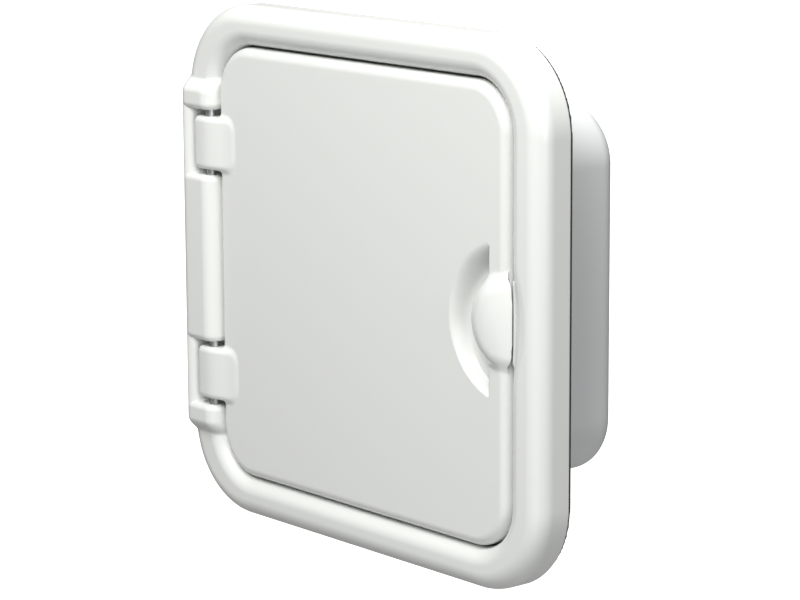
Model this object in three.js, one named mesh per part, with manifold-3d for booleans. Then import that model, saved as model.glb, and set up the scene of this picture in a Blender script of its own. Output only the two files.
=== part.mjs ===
// Recessed storage hatch: a hinged door in a flanged frame, with a moulded box behind it.
// Millimetres. X points right seen from the front, Y into the bulkhead, Z up.
// The origin is the centre of the cut-out, in the plane of the bulkhead's front face.
import * as THREE from 'three';
import { mergeVertices } from 'three/addons/utils/BufferGeometryUtils.js';
import Module from 'manifold-3d';

const wasm = await Module();
wasm.setup();

// ---------------------------------------------------------------- driving dimensions

const GAP = 0.3; // kept between pieces that touch
const FAR = 60; // how far a cutter runs past what it cuts
const CORNER_STEPS = 6; // facets in each rounded corner of an outline

// Depths of the stack, from the bulkhead's face (0) towards the front (negative).
const DEPTH = {
  gasketFront: -1.5,
  frameBack: -1.8,
  rimFront: -3.9,
  sillBack: -4.2,
  sillFront: -6.6,
  doorBack: -9.2,
  linerFront: -11.2,
  skinInside: -15,
  doorFront: -17.5,
  frameFront: -18.5,
  barFront: -22.5,
};

const FRAME = { halfWidth: 116, halfHeight: 113.4, corner: 39, outerRound: 8, innerRound: 7, wall: 2.8 };
const OPENING = { centreX: 1.25, halfWidth: 95.55, halfHeight: 96.4, corner: 22 };
const SILL_HOLE = { halfWidth: 76, halfHeight: 76, corner: 23 };
const RIM_POCKET = { halfWidth: 93.3, halfHeight: 93.3, corner: 30.3 };

const BOX = {
  mouth: { halfWidth: 79, halfHeight: 79, corner: 25.5 },
  rear: { halfWidth: 78, halfHeight: 78.5, corner: 25 },
  rim: { halfWidth: 93, halfHeight: 93, corner: 30 },
  wall: 2.5,
  depth: 61,
  rearRound: 8.5,
};

const DOOR = { centreX: 1.25, halfWidth: 94.35, halfHeight: 95.2, corner: 20.8, edgeRound: 4.3, skirt: 2.5 };
const LINER = { clearance: 0.35, notchLeft: 58.6, notchHalfHeight: 34.4 };

// The hinge line runs up the left border. Two lugs on the door turn in two slots in the bar.
const HINGE = { x: -99.2, y: -16.5 };
const BAR = {
  left: -115.6,
  right: -93.6,
  halfLength: 74,
  footHalfLength: 81,
  leftRound: 6,
  rightRound: 6,
  back: -15,
};
const KNUCKLE_BLOCK = { left: -113.4, right: -96.6, from: 29, to: 77 };
const SLOT = { from: 37.4, to: 66.2, sweep: 8.7, lipLeft: -111.7 };
const LUG = { from: 39.9, to: 63.3, left: -106.3, tipRound: 2.2, flatEnd: -93.4, slopeEnd: -81, barrel: 6 };
const HINGE_PIN = { radius: 2, from: 31, to: 74 };

const RECESS = { chordX: 85.2, halfChord: 31.5, arcX: 61.2, depth: 6.9 };
const RECESS_BACKING = { left: 59.2, halfHeight: 33.8 };

// The half-moon pull is moulded with the door. Its right end stands past the door's edge,
// over a shelf at the bottom of a scallop in the frame.
const PULL = { centreX: 98.6, radius: 20.5, left: 79, right: 97.9, front: -22.8, lipBack: -18.8, back: -16.6 };
const SCALLOP = { centreX: 52.3, radius: 49.5, atY: -16, front: -20, back: -16.2 };
const SCALLOP_BLOCK = { left: 97.5, right: 108, front: -15.9, back: -7, halfHeight: 24 };
const PULL_SHELF = { left: 96.85, right: 104, front: -16.8, back: -10, halfHeight: 17.5 };

// A bullet catch in the door's edge: a barrel, a spring and a round-nosed bolt, all along X.
const CATCH = { y: -12.2, barrelLeft: 87.3, barrelRight: 95.3, barrelOuter: 2.3, barrelInner: 1.8, lip: 0.6 };
const BOLT = { body: 1.5, nose: 1.1, left: 90.4, shoulder: 94.4, tip: 96.1 };
const SPRING = { inner: 0.9, outer: 1.4, left: 88.05, right: 88.75 };
const KEEPER = { left: 96.5, right: 97.3, front: -13.1, back: -7.3, halfLength: 10, hole: 1.5, recess: 0.3 };

const DOOR_SEAL = { halfWidth: 83, halfHeight: 83, corner: 28, width: 4.5, front: -8.9 };
const BOX_SEAL = { halfWidth: 84, halfHeight: 84, corner: 26, width: 1.6, front: -5.1, groove: 0.35 };
const GASKET = { inner: 80.5, innerCorner: 27, inset: 1 };

const MOUNT_HOLE = { radius: 2.3, sink: 4.2, sinkDepth: 1.9, line: 88.5, pitch: 46 };
const BOX_SCREW = { place: 80.5, shank: 1.2, head: 2.8, headHeight: 1.2, length: 5.4, boss: 3.2, bossFront: -8.8 };
const LINER_SCREW = { line: 87.6, spread: 72, shank: 1.1, head: 2.3, headHeight: 1, length: 4.6, post: 3 };
const KEEPER_SCREW = { y: -10.2, spread: 6.6, shank: 0.8, head: 1.5, headHeight: 0.4, length: 2.2 };

// ---------------------------------------------------------------- finishes

function finish(color, roughness, metalness = 0) {
  return new THREE.MeshStandardMaterial({ color, roughness, metalness });
}

const WHITE = '#e2e3e0';
const FINISHES = {
  gelWhite: () => finish(WHITE, 0.32),
  boxWhite: () => finish('#dcdddb', 0.4),
  rubber: () => finish('#3a3b3c', 0.8),
  foam: () => finish('#4a4b4d', 0.95),
  steel: () => finish('#b9bbbd', 0.3, 1),
  spring: () => finish('#9b9da0', 0.35, 1),
  brass: () => finish('#b89a5a', 0.35, 1),
};

// ---------------------------------------------------------------- solids

function toSolid(geometry) {
  const bare = geometry.clone();
  bare.deleteAttribute('normal');
  bare.deleteAttribute('uv');
  const merged = mergeVertices(bare, 1e-4);
  const vertProperties = new Float32Array(merged.attributes.position.array);
  const triVerts = new Uint32Array(merged.index.array);
  return new wasm.Manifold(new wasm.Mesh({ numProp: 3, vertProperties, triVerts }));
}

function toGeometry(solid) {
  const mesh = solid.getMesh();
  const geometry = new THREE.BufferGeometry();
  geometry.setAttribute('position', new THREE.BufferAttribute(mesh.vertProperties, 3));
  geometry.setIndex(new THREE.BufferAttribute(mesh.triVerts, 1));
  geometry.computeVertexNormals();
  return geometry;
}

function box(x0, x1, y0, y1, z0, z1) {
  const geometry = new THREE.BoxGeometry(x1 - x0, y1 - y0, z1 - z0);
  geometry.translate((x0 + x1) / 2, (y0 + y1) / 2, (z0 + z1) / 2);
  return toSolid(geometry);
}

// A round bar along Y, between two depths; the radii belong to its front and back ends.
function barY(x, z, frontY, backY, frontRadius, backRadius = frontRadius, facets = 12) {
  const geometry = new THREE.CylinderGeometry(backRadius, frontRadius, backY - frontY, facets);
  geometry.translate(x, (frontY + backY) / 2, z);
  return toSolid(geometry);
}

// A round bar along Z, between two heights.
function barZ(x, y, z0, z1, radius, facets = 20) {
  const geometry = new THREE.CylinderGeometry(radius, radius, z1 - z0, facets);
  geometry.rotateX(Math.PI / 2);
  geometry.translate(x, y, (z0 + z1) / 2);
  return toSolid(geometry);
}

// A solid of revolution about a line along X, from pairs of radius and X.
function turnedX(y, z, profile, facets = 16) {
  const geometry = new THREE.LatheGeometry(profile.map(([r, x]) => new THREE.Vector2(r, x)), facets);
  geometry.rotateZ(-Math.PI / 2);
  geometry.translate(0, y, z);
  return toSolid(geometry);
}

// An outline in the XY plane, run along Z.
function prismZ(shape, z0, z1, curveSegments = 8) {
  const geometry = new THREE.ExtrudeGeometry(shape, { depth: z1 - z0, bevelEnabled: false, curveSegments });
  geometry.translate(0, 0, z0);
  return toSolid(geometry);
}

function polygon(points) {
  return new THREE.Shape(points.map(([x, y]) => new THREE.Vector2(x, y)));
}

// ---------------------------------------------------------------- lofts of rounded rectangles

function grow(outline, by) {
  return {
    ...outline,
    halfWidth: outline.halfWidth + by,
    halfHeight: outline.halfHeight + by,
    corner: outline.corner + by,
  };
}

function at(outline, y) {
  return { ...outline, y };
}

function outlinePoints({ centreX = 0, halfWidth, halfHeight, corner, y }) {
  const points = [];
  for (let quarter = 0; quarter < 4; quarter += 1) {
    const sideX = quarter % 3 === 0 ? 1 : -1;
    const sideZ = quarter < 2 ? 1 : -1;
    for (let step = 0; step <= CORNER_STEPS; step += 1) {
      const angle = (Math.PI / 2) * (quarter + step / CORNER_STEPS);
      const x = centreX + sideX * (halfWidth - corner) + corner * Math.cos(angle);
      const z = sideZ * (halfHeight - corner) + corner * Math.sin(angle);
      points.push(new THREE.Vector3(x, y, z));
    }
  }
  return points;
}

// Joins outlines into a skin. A tube closes on its first outline, and a plug has flat ends.
function loft(outlines, closed) {
  const rows = outlines.map(outlinePoints);
  const count = rows[0].length;
  const positions = rows.flat();
  const index = [];
  const lastRow = closed ? rows.length : rows.length - 1;
  for (let row = 0; row < lastRow; row += 1) {
    const next = (row + 1) % rows.length;
    for (let i = 0; i < count; i += 1) {
      const j = (i + 1) % count;
      index.push(row * count + i, next * count + j, next * count + i);
      index.push(row * count + i, row * count + j, next * count + j);
    }
  }
  if (!closed) {
    const lastStart = (rows.length - 1) * count;
    for (let i = 1; i < count - 1; i += 1) {
      index.push(0, i + 1, i);
      index.push(lastStart, lastStart + i, lastStart + i + 1);
    }
  }
  const geometry = new THREE.BufferGeometry().setFromPoints(positions);
  geometry.setIndex(index);
  return toSolid(geometry);
}

// A plug's outlines run from back to front, and so does a tube's outer side.
const plug = (outlines) => loft(outlines, false);
const tube = (outlines) => loft(outlines, true);

// The outlines of a rounded edge: it starts on the side wall and ends on the face.
function roundedEdge(outline, faceY, radius, steps, outwards = 1) {
  const rows = [];
  for (let step = 0; step <= steps; step += 1) {
    const angle = (Math.PI / 2) * (step / steps);
    const inset = radius * (1 - Math.cos(angle));
    rows.push(at(grow(outline, -outwards * inset), faceY + radius * (1 - Math.sin(angle))));
  }
  return rows;
}

// ---------------------------------------------------------------- fasteners

// A flat-headed screw along Y, seated at the origin with its tip towards +Y.
function screw({ shank, head, headHeight, length }) {
  const profile = [
    [0, -headHeight],
    [head, -headHeight],
    [head, 0],
    [shank, 0],
    [shank, length - shank],
    [0, length],
  ];
  return new THREE.LatheGeometry(profile.map(([r, y]) => new THREE.Vector2(r, y)), 10);
}

// A screw driven forwards, from behind, with its seat at the given depth.
function screwForwards(x, z, seatY, size) {
  const geometry = screw(size);
  geometry.rotateX(Math.PI);
  geometry.translate(x, seatY, z);
  return toSolid(geometry);
}

// A screw driven to the right, into the side of the frame's opening.
function screwRight(x, y, z, size) {
  const geometry = screw(size);
  geometry.rotateZ(-Math.PI / 2);
  geometry.translate(x, y, z);
  return toSolid(geometry);
}

const CORNER_SIGNS = [[1, 1], [-1, 1], [-1, -1], [1, -1]];

const MOUNT_PLACES = CORNER_SIGNS.flatMap(([sx, sz]) => [
  [sx * MOUNT_HOLE.pitch, sz * MOUNT_HOLE.line],
  [sx * MOUNT_HOLE.line, sz * MOUNT_HOLE.pitch],
]);

const BOX_SCREW_PLACES = CORNER_SIGNS.map(([sx, sz]) => [sx * BOX_SCREW.place, sz * BOX_SCREW.place]);

const LINER_SCREW_PLACES = [
  [-LINER_SCREW.spread, LINER_SCREW.line],
  [0, LINER_SCREW.line],
  [LINER_SCREW.spread, LINER_SCREW.line],
  [-LINER_SCREW.spread, -LINER_SCREW.line],
  [0, -LINER_SCREW.line],
  [LINER_SCREW.spread, -LINER_SCREW.line],
];

// ---------------------------------------------------------------- frame

function frameShell() {
  const outer = { halfWidth: FRAME.halfWidth, halfHeight: FRAME.halfHeight, corner: FRAME.corner };
  const { wall, outerRound, innerRound } = FRAME;
  const { frameFront, frameBack, sillFront, sillBack } = DEPTH;
  const hollowFront = frameFront + wall;
  const mouth = roundedEdge(OPENING, frameFront, innerRound, 4, -1);
  return tube([
    at(outer, frameBack),
    ...roundedEdge(outer, frameFront, outerRound, 4),
    ...mouth.reverse(),
    at(OPENING, sillFront),
    at(SILL_HOLE, sillFront),
    at(SILL_HOLE, sillBack),
    at(RIM_POCKET, sillBack),
    at(RIM_POCKET, frameBack),
    at(grow(OPENING, wall), frameBack),
    ...roundedEdge(grow(OPENING, wall), hollowFront, innerRound - wall, 2, -1),
    ...roundedEdge(grow(outer, -wall), hollowFront, outerRound - wall, 2).reverse(),
    at(grow(outer, -wall), frameBack),
  ]);
}

function barProfile() {
  const { left, right, leftRound, rightRound, back } = BAR;
  const front = DEPTH.barFront;
  const shape = new THREE.Shape();
  shape.moveTo(left, back);
  shape.absarc(left + leftRound, front + leftRound, leftRound, Math.PI, Math.PI * 1.5, false);
  shape.absarc(right - rightRound, front + rightRound, rightRound, Math.PI * 1.5, Math.PI * 2, false);
  shape.lineTo(right - 0.6, back + 1.8);
  shape.lineTo(right - 3, back + 1.8);
  shape.lineTo(right - 4, back);
  return shape;
}

// The bar's ends ramp down to the frame's face.
function barEndsProfile() {
  const { halfLength, footHalfLength } = BAR;
  return polygon([
    [-footHalfLength, DEPTH.frameFront],
    [-halfLength, DEPTH.barFront],
    [-halfLength, DEPTH.barFront - GAP],
    [halfLength, DEPTH.barFront - GAP],
    [halfLength, DEPTH.barFront],
    [footHalfLength, DEPTH.frameFront],
    [footHalfLength, BAR.back + 2],
    [-footHalfLength, BAR.back + 2],
  ]);
}

function hingeBar() {
  const length = BAR.footHalfLength;
  const along = prismZ(barProfile(), -length, length, 6);
  const ends = new THREE.ExtrudeGeometry(barEndsProfile(), { depth: FAR, bevelEnabled: false });
  ends.applyMatrix4(new THREE.Matrix4().makeBasis(
    new THREE.Vector3(0, 0, 1),
    new THREE.Vector3(0, 1, 0),
    new THREE.Vector3(-1, 0, 0),
  ));
  ends.translate(BAR.right + 1, 0, 0);
  return along.intersect(toSolid(ends));
}

function slotCutter(z0, z1) {
  const { sweep, lipLeft } = SLOT;
  const deepLeft = HINGE.x - sweep;
  const barrelRoom = barZ(HINGE.x, HINGE.y, z0, z1, sweep, 36);
  const doorSide = box(HINGE.x, OPENING.centreX - OPENING.halfWidth + 3, -FAR, DEPTH.sillFront - GAP, z0, z1);
  const mouth = polygon([
    [HINGE.x + 1, HINGE.y],
    [deepLeft, HINGE.y],
    [deepLeft - 0.3, HINGE.y - 2.4],
    [deepLeft - 1.4, HINGE.y - 4.4],
    [lipLeft, DEPTH.barFront],
    [lipLeft, -FAR],
    [HINGE.x + 1, -FAR],
  ]);
  return barrelRoom.add(doorSide).add(prismZ(mouth, z0, z1));
}

function scallopCutter() {
  const { centreX, radius, atY, front, back } = SCALLOP;
  return barY(centreX, 0, front, back, radius + (atY - front), radius + (atY - back), 120);
}

function makeFrame() {
  let solid = frameShell().add(hingeBar());
  for (const side of [1, -1]) {
    const [low, high] = [KNUCKLE_BLOCK.from * side, KNUCKLE_BLOCK.to * side].sort((a, b) => a - b);
    const { left, right } = KNUCKLE_BLOCK;
    solid = solid.add(box(left, right, BAR.back - 1, DEPTH.frameBack, low, high));
  }
  const { left, right, from } = KNUCKLE_BLOCK;
  solid = solid.subtract(box(left + 0.6, right, DEPTH.barFront + 3, -10, -from, from));
  for (const side of [1, -1]) {
    const [low, high] = [SLOT.from * side, SLOT.to * side].sort((a, b) => a - b);
    const [pinLow, pinHigh] = [(from - 1) * side, (HINGE_PIN.to + GAP) * side].sort((a, b) => a - b);
    solid = solid.subtract(slotCutter(low, high));
    solid = solid.subtract(barZ(HINGE.x, HINGE.y, pinLow, pinHigh, HINGE_PIN.radius + GAP));
  }
  for (const block of [SCALLOP_BLOCK, PULL_SHELF]) {
    const { halfHeight } = block;
    solid = solid.add(box(block.left, block.right, block.front, block.back, -halfHeight, halfHeight));
  }
  solid = solid.subtract(scallopCutter());
  for (const [x, z] of BOX_SCREW_PLACES) {
    solid = solid.add(barY(x, z, BOX_SCREW.bossFront, DEPTH.sillFront + 1, BOX_SCREW.boss));
    const holeFront = DEPTH.gasketFront - BOX_SCREW.length - GAP;
    solid = solid.subtract(barY(x, z, holeFront, 0, BOX_SCREW.shank + GAP));
  }
  for (const [x, z] of MOUNT_PLACES) {
    const { radius, sink, sinkDepth } = MOUNT_HOLE;
    const front = DEPTH.sillFront;
    solid = solid.subtract(barY(x, z, front - 1, 0, radius));
    solid = solid.subtract(barY(x, z, front - 0.01, front + sinkDepth, sink, radius));
  }
  const { recess, halfLength } = KEEPER;
  const [keeperFront, keeperBack] = [KEEPER.front - recess, KEEPER.back + recess];
  const keeperLength = halfLength + recess;
  solid = solid.subtract(box(90, KEEPER.right + recess, keeperFront, keeperBack, -keeperLength, keeperLength));
  for (const side of [1, -1]) {
    const room = KEEPER_SCREW.shank + GAP;
    const reach = KEEPER.right + KEEPER_SCREW.length;
    solid = solid.subtract(turnedX(KEEPER_SCREW.y, side * KEEPER_SCREW.spread, rod(room, 90, reach)));
  }
  const groove = grow(BOX_SEAL, BOX_SEAL.groove);
  const grooveInner = grow(groove, -BOX_SEAL.width - 2 * BOX_SEAL.groove);
  const grooveFront = BOX_SEAL.front - GAP;
  return solid.subtract(ringPlate(groove, grooveInner, grooveFront, DEPTH.sillBack + 0.1));
}

// A flat ring between two rounded rectangles.
function ringPlate(outer, inner, frontY, backY) {
  return tube([at(outer, backY), at(outer, frontY), at(inner, frontY), at(inner, backY)]);
}

// ---------------------------------------------------------------- storage box, seals and gasket

function makeStorageBox() {
  const { mouth, rear, rim, wall, depth, rearRound } = BOX;
  const outerRear = roundedEdge(rear, -depth, rearRound, 4).map((row) => at(row, -row.y));
  const innerRear = roundedEdge(grow(rear, -wall), -(depth - wall), rearRound - wall, 3);
  const outside = plug([...outerRear.reverse(), at(mouth, DEPTH.rimFront)]);
  const inside = plug([
    ...innerRear.map((row) => at(row, -row.y)).reverse(),
    at(grow(mouth, -wall), DEPTH.rimFront - 5),
  ]);
  const flange = plug([at(rim, DEPTH.frameBack), at(rim, DEPTH.rimFront)]);
  let solid = outside.add(flange).subtract(inside);
  for (const [x, z] of BOX_SCREW_PLACES) {
    solid = solid.subtract(barY(x, z, -FAR, DEPTH.frameBack + 1, BOX_SCREW.shank + GAP));
  }
  for (const [x, z] of MOUNT_PLACES) {
    solid = solid.subtract(barY(x, z, -FAR, DEPTH.frameBack + 1, MOUNT_HOLE.radius));
  }
  return solid;
}

function makeGasket() {
  const outer = {
    halfWidth: FRAME.halfWidth - GASKET.inset,
    halfHeight: FRAME.halfHeight - GASKET.inset,
    corner: FRAME.corner - GASKET.inset,
  };
  const inner = { halfWidth: GASKET.inner, halfHeight: GASKET.inner, corner: GASKET.innerCorner };
  let solid = ringPlate(outer, inner, DEPTH.gasketFront, 0);
  for (const [x, z] of BOX_SCREW_PLACES) {
    solid = solid.subtract(barY(x, z, -FAR, 1, BOX_SCREW.head + 0.6));
  }
  for (const [x, z] of MOUNT_PLACES) {
    solid = solid.subtract(barY(x, z, -FAR, 1, MOUNT_HOLE.radius));
  }
  return solid;
}

function makeDoorSeal() {
  return ringPlate(DOOR_SEAL, grow(DOOR_SEAL, -DOOR_SEAL.width), DOOR_SEAL.front, DEPTH.sillFront - GAP);
}

function makeBoxSeal() {
  return ringPlate(BOX_SEAL, grow(BOX_SEAL, -BOX_SEAL.width), BOX_SEAL.front, DEPTH.sillBack);
}

// ---------------------------------------------------------------- door

function lugProfile() {
  const { left, tipRound, flatEnd, slopeEnd, barrel } = LUG;
  const front = DEPTH.barFront;
  const shape = new THREE.Shape();
  shape.moveTo(slopeEnd, DEPTH.doorFront + 0.4);
  shape.lineTo(slopeEnd + 4, DEPTH.skinInside - 0.5);
  shape.lineTo(HINGE.x + 9, DEPTH.linerFront - GAP);
  shape.absarc(HINGE.x, HINGE.y, barrel, Math.PI * 0.45, Math.PI, false);
  shape.absarc(left + tipRound, front + tipRound, tipRound, Math.PI, Math.PI * 1.5, false);
  shape.lineTo(flatEnd, front);
  shape.lineTo((flatEnd + slopeEnd) / 2, (front + DEPTH.doorFront) / 2 - 0.8);
  shape.lineTo(slopeEnd, DEPTH.doorFront);
  return shape;
}

function recessCutter() {
  const { chordX, halfChord, arcX, depth } = RECESS;
  const sagitta = chordX - arcX;
  const radius = (halfChord ** 2 + sagitta ** 2) / (2 * sagitta);
  const geometry = new THREE.SphereGeometry(1, 32, 16);
  geometry.scale(radius, depth, radius);
  geometry.translate(arcX + radius, DEPTH.doorFront, 0);
  const halfSpace = box(chordX - FAR, chordX, -FAR, 0, -FAR, FAR);
  return toSolid(geometry).intersect(halfSpace);
}

// The pull's section across the door: a lip over the recess, then a slope down to its right end.
function pullProfile() {
  const { left, right, front, lipBack, back } = PULL;
  const shape = new THREE.Shape();
  shape.moveTo(left + 0.7, lipBack);
  shape.lineTo(left, front + 2.6);
  shape.absarc(left + 2.4, front + 2.4, 2.4, Math.PI, Math.PI * 1.5, false);
  shape.lineTo(left + 5.5, front);
  shape.bezierCurveTo(left + 12, front, right - 3.2, front + 2.6, right - 0.4, front + 4.9);
  shape.lineTo(right, front + 5.6);
  shape.lineTo(right - 0.4, back);
  shape.lineTo(RECESS.chordX, back);
  shape.lineTo(RECESS.chordX, lipBack + 0.4);
  return shape;
}

function pull() {
  const { centreX, radius } = PULL;
  const halfMoon = barY(centreX, 0, -FAR, 0, radius, radius, 64);
  return prismZ(pullProfile(), -radius - 1, radius + 1, 8).intersect(halfMoon);
}

function makeDoorShell() {
  const { edgeRound, skirt } = DOOR;
  const outside = plug([at(DOOR, DEPTH.doorBack), ...roundedEdge(DOOR, DEPTH.doorFront, edgeRound, 4)]);
  const insideRound = edgeRound - skirt;
  const inside = plug([
    at(grow(DOOR, -skirt), 0),
    ...roundedEdge(grow(DOOR, -skirt), DEPTH.skinInside, insideRound, 2),
  ]);
  const { left, halfHeight } = RECESS_BACKING;
  const rightInside = DOOR.centreX + DOOR.halfWidth - 1;
  const backing = box(left, rightInside, DEPTH.skinInside - 1, DEPTH.doorBack, -halfHeight, halfHeight);
  let solid = outside.subtract(inside).add(backing);
  for (const side of [1, -1]) {
    const [low, high] = [LUG.from * side, LUG.to * side].sort((a, b) => a - b);
    solid = solid.add(prismZ(lugProfile(), low, high, 10));
    solid = solid.subtract(barZ(HINGE.x, HINGE.y, low - 1, high + 1, HINGE_PIN.radius + GAP));
  }
  solid = solid.subtract(recessCutter()).add(pull());
  for (const [x, z] of LINER_SCREW_PLACES) {
    const postFront = DEPTH.skinInside - 1;
    solid = solid.add(barY(x, z, postFront, DEPTH.linerFront - GAP, LINER_SCREW.post));
    const holeFront = DEPTH.doorBack - LINER_SCREW.headHeight - LINER_SCREW.length - GAP;
    solid = solid.subtract(barY(x, z, holeFront, 0, LINER_SCREW.shank + GAP));
  }
  const { y, barrelLeft, barrelOuter } = CATCH;
  return solid.subtract(turnedX(y, 0, rod(barrelOuter + GAP, barrelLeft - GAP, FAR * 2)));
}

function makeDoorLiner() {
  const outline = grow(DOOR, -DOOR.skirt - LINER.clearance);
  const { notchLeft, notchHalfHeight } = LINER;
  let solid = plug([at(outline, DEPTH.doorBack), at(outline, DEPTH.linerFront)]);
  solid = solid.subtract(box(notchLeft, FAR * 2, -FAR, 0, -notchHalfHeight, notchHalfHeight));
  for (const [x, z] of LINER_SCREW_PLACES) {
    const { head, shank, headHeight } = LINER_SCREW;
    const headRoom = DEPTH.doorBack - headHeight - GAP;
    solid = solid.subtract(barY(x, z, -FAR, 0, shank + GAP));
    solid = solid.subtract(barY(x, z, headRoom, 0, head + GAP));
  }
  return solid;
}

// ---------------------------------------------------------------- catch

// The section of a plain rod along X.
function rod(radius, left, right) {
  return [[0, left], [radius, left], [radius, right], [0, right]];
}

// The barrel is closed on the left, and a lip on the right keeps the bolt's shoulder in.
function makeCatchBarrel() {
  const { y, barrelLeft, barrelRight, barrelOuter, barrelInner, lip } = CATCH;
  const mouth = BOLT.nose + 0.2;
  const outside = turnedX(y, 0, rod(barrelOuter, barrelLeft, barrelRight));
  const bore = turnedX(y, 0, rod(barrelInner, barrelLeft + lip, barrelRight - lip));
  const mouthHole = turnedX(y, 0, rod(mouth, barrelRight - lip - 1, barrelRight + 1));
  return outside.subtract(bore.add(mouthHole));
}

function makeCatchBolt() {
  const { body, nose, left, shoulder, tip } = BOLT;
  const profile = [[0, left], [body, left], [body, shoulder], [nose, shoulder]];
  for (let step = 0; step <= 4; step += 1) {
    const angle = (Math.PI / 2) * (step / 4);
    profile.push([nose * Math.cos(angle), tip - nose + nose * Math.sin(angle)]);
  }
  return turnedX(CATCH.y, 0, profile);
}

function makeCatchSpring() {
  const { inner, outer, left, right } = SPRING;
  return turnedX(CATCH.y, 0, rod(outer, left, right)).subtract(turnedX(CATCH.y, 0, rod(inner, 0, FAR * 2)));
}

// A steel plate in the side of the frame's opening, with a hole that the bolt's nose drops into.
function makeCatchKeeper() {
  const { left, right, front, back, halfLength, hole } = KEEPER;
  let solid = box(left, right, front, back, -halfLength, halfLength);
  solid = solid.subtract(turnedX(CATCH.y + 0.6, 0, rod(hole, 90, FAR * 2)));
  for (const side of [1, -1]) {
    const room = rod(KEEPER_SCREW.shank + GAP, 90, FAR * 2);
    solid = solid.subtract(turnedX(KEEPER_SCREW.y, side * KEEPER_SCREW.spread, room));
  }
  return solid;
}

// ---------------------------------------------------------------- assembly

const hatch = new THREE.Group();

function addPiece(group, name, solid, material) {
  const mesh = new THREE.Mesh(toGeometry(solid), material());
  mesh.name = name;
  group.add(mesh);
}

const caseGroup = new THREE.Group();
addPiece(caseGroup, 'frame', makeFrame(), FINISHES.gelWhite);
addPiece(caseGroup, 'storage_box', makeStorageBox(), FINISHES.boxWhite);
addPiece(caseGroup, 'mounting_gasket', makeGasket(), FINISHES.rubber);
addPiece(caseGroup, 'box_seal', makeBoxSeal(), FINISHES.rubber);
addPiece(caseGroup, 'door_seal', makeDoorSeal(), FINISHES.foam);
addPiece(caseGroup, 'catch_keeper', makeCatchKeeper(), FINISHES.steel);
[1, -1].forEach((side, i) => {
  const solid = screwRight(KEEPER.left, KEEPER_SCREW.y, side * KEEPER_SCREW.spread, KEEPER_SCREW);
  addPiece(caseGroup, `keeper_screw_${i + 1}`, solid, FINISHES.steel);
});
BOX_SCREW_PLACES.forEach(([x, z], i) => {
  const solid = screwForwards(x, z, DEPTH.gasketFront, BOX_SCREW);
  addPiece(caseGroup, `box_screw_${i + 1}`, solid, FINISHES.steel);
});
const { radius: pinRadius, from: pinFrom, to: pinTo } = HINGE_PIN;
addPiece(caseGroup, 'hinge_pin_upper', barZ(HINGE.x, HINGE.y, pinFrom, pinTo, pinRadius), FINISHES.steel);
addPiece(caseGroup, 'hinge_pin_lower', barZ(HINGE.x, HINGE.y, -pinTo, -pinFrom, pinRadius), FINISHES.steel);

const doorGroup = new THREE.Group();
addPiece(doorGroup, 'door_shell', makeDoorShell(), FINISHES.gelWhite);
addPiece(doorGroup, 'door_liner', makeDoorLiner(), FINISHES.boxWhite);
LINER_SCREW_PLACES.forEach(([x, z], i) => {
  const solid = screwForwards(x, z, DEPTH.doorBack - LINER_SCREW.headHeight, LINER_SCREW);
  addPiece(doorGroup, `liner_screw_${i + 1}`, solid, FINISHES.steel);
});
addPiece(doorGroup, 'catch_barrel', makeCatchBarrel(), FINISHES.brass);
addPiece(doorGroup, 'catch_spring', makeCatchSpring(), FINISHES.spring);

const boltGroup = new THREE.Group();
addPiece(boltGroup, 'catch_bolt', makeCatchBolt(), FINISHES.steel);

hatch.add(caseGroup, doorGroup, boltGroup);

export default hatch;
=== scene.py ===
"""A recessed storage hatch: a flanged frame, a moulded box behind it and a hinged door in front.

Sizes are in millimetres, and a mesh becomes metres when it is made. X runs to the right seen from
the front, Y into the bulkhead and Z up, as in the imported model.
"""

import functools
import logging
import math
from collections.abc import Callable, Sequence
from dataclasses import dataclass
from enum import Enum

import bpy
import numpy as np
from mathutils import Matrix, Vector

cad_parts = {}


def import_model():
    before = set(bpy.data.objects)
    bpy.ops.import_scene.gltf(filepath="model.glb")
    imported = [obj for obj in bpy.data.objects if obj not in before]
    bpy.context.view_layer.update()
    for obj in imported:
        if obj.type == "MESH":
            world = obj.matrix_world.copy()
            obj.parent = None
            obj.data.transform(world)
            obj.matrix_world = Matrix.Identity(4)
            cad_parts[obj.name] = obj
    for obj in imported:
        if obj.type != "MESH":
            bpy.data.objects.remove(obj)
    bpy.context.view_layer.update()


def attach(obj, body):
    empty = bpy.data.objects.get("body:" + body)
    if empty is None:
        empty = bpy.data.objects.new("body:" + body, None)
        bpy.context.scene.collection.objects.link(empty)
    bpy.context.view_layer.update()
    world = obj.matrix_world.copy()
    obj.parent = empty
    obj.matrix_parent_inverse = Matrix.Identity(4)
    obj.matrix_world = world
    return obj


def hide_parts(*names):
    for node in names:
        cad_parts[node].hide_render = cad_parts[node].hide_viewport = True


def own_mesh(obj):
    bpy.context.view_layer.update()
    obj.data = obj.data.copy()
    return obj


LOG = logging.getLogger("hatch")
METRES = 0.001
Array = np.ndarray
Field = Callable[[Array, Array, Array], Array]


# ------------------------------------------------------------------ distance fields


def plan(x: Array, z: Array, size: "Outline", grow: Array | float = 0.0) -> Array:
    """Distance to a rounded rectangle seen from the front, negative inside.

    Args:
        x: Places across.
        z: Places up.
        size: The outline.
        grow: How far the outline is moved outwards.

    Returns:
        The signed distance at each place.
    """
    across = np.abs(x - size.centre) - (size.half_width - size.corner)
    up = np.abs(z) - (size.half_height - size.corner)
    outside = np.hypot(np.maximum(across, 0), np.maximum(up, 0))
    return outside + np.minimum(np.maximum(across, up), 0) - size.corner - grow


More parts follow.
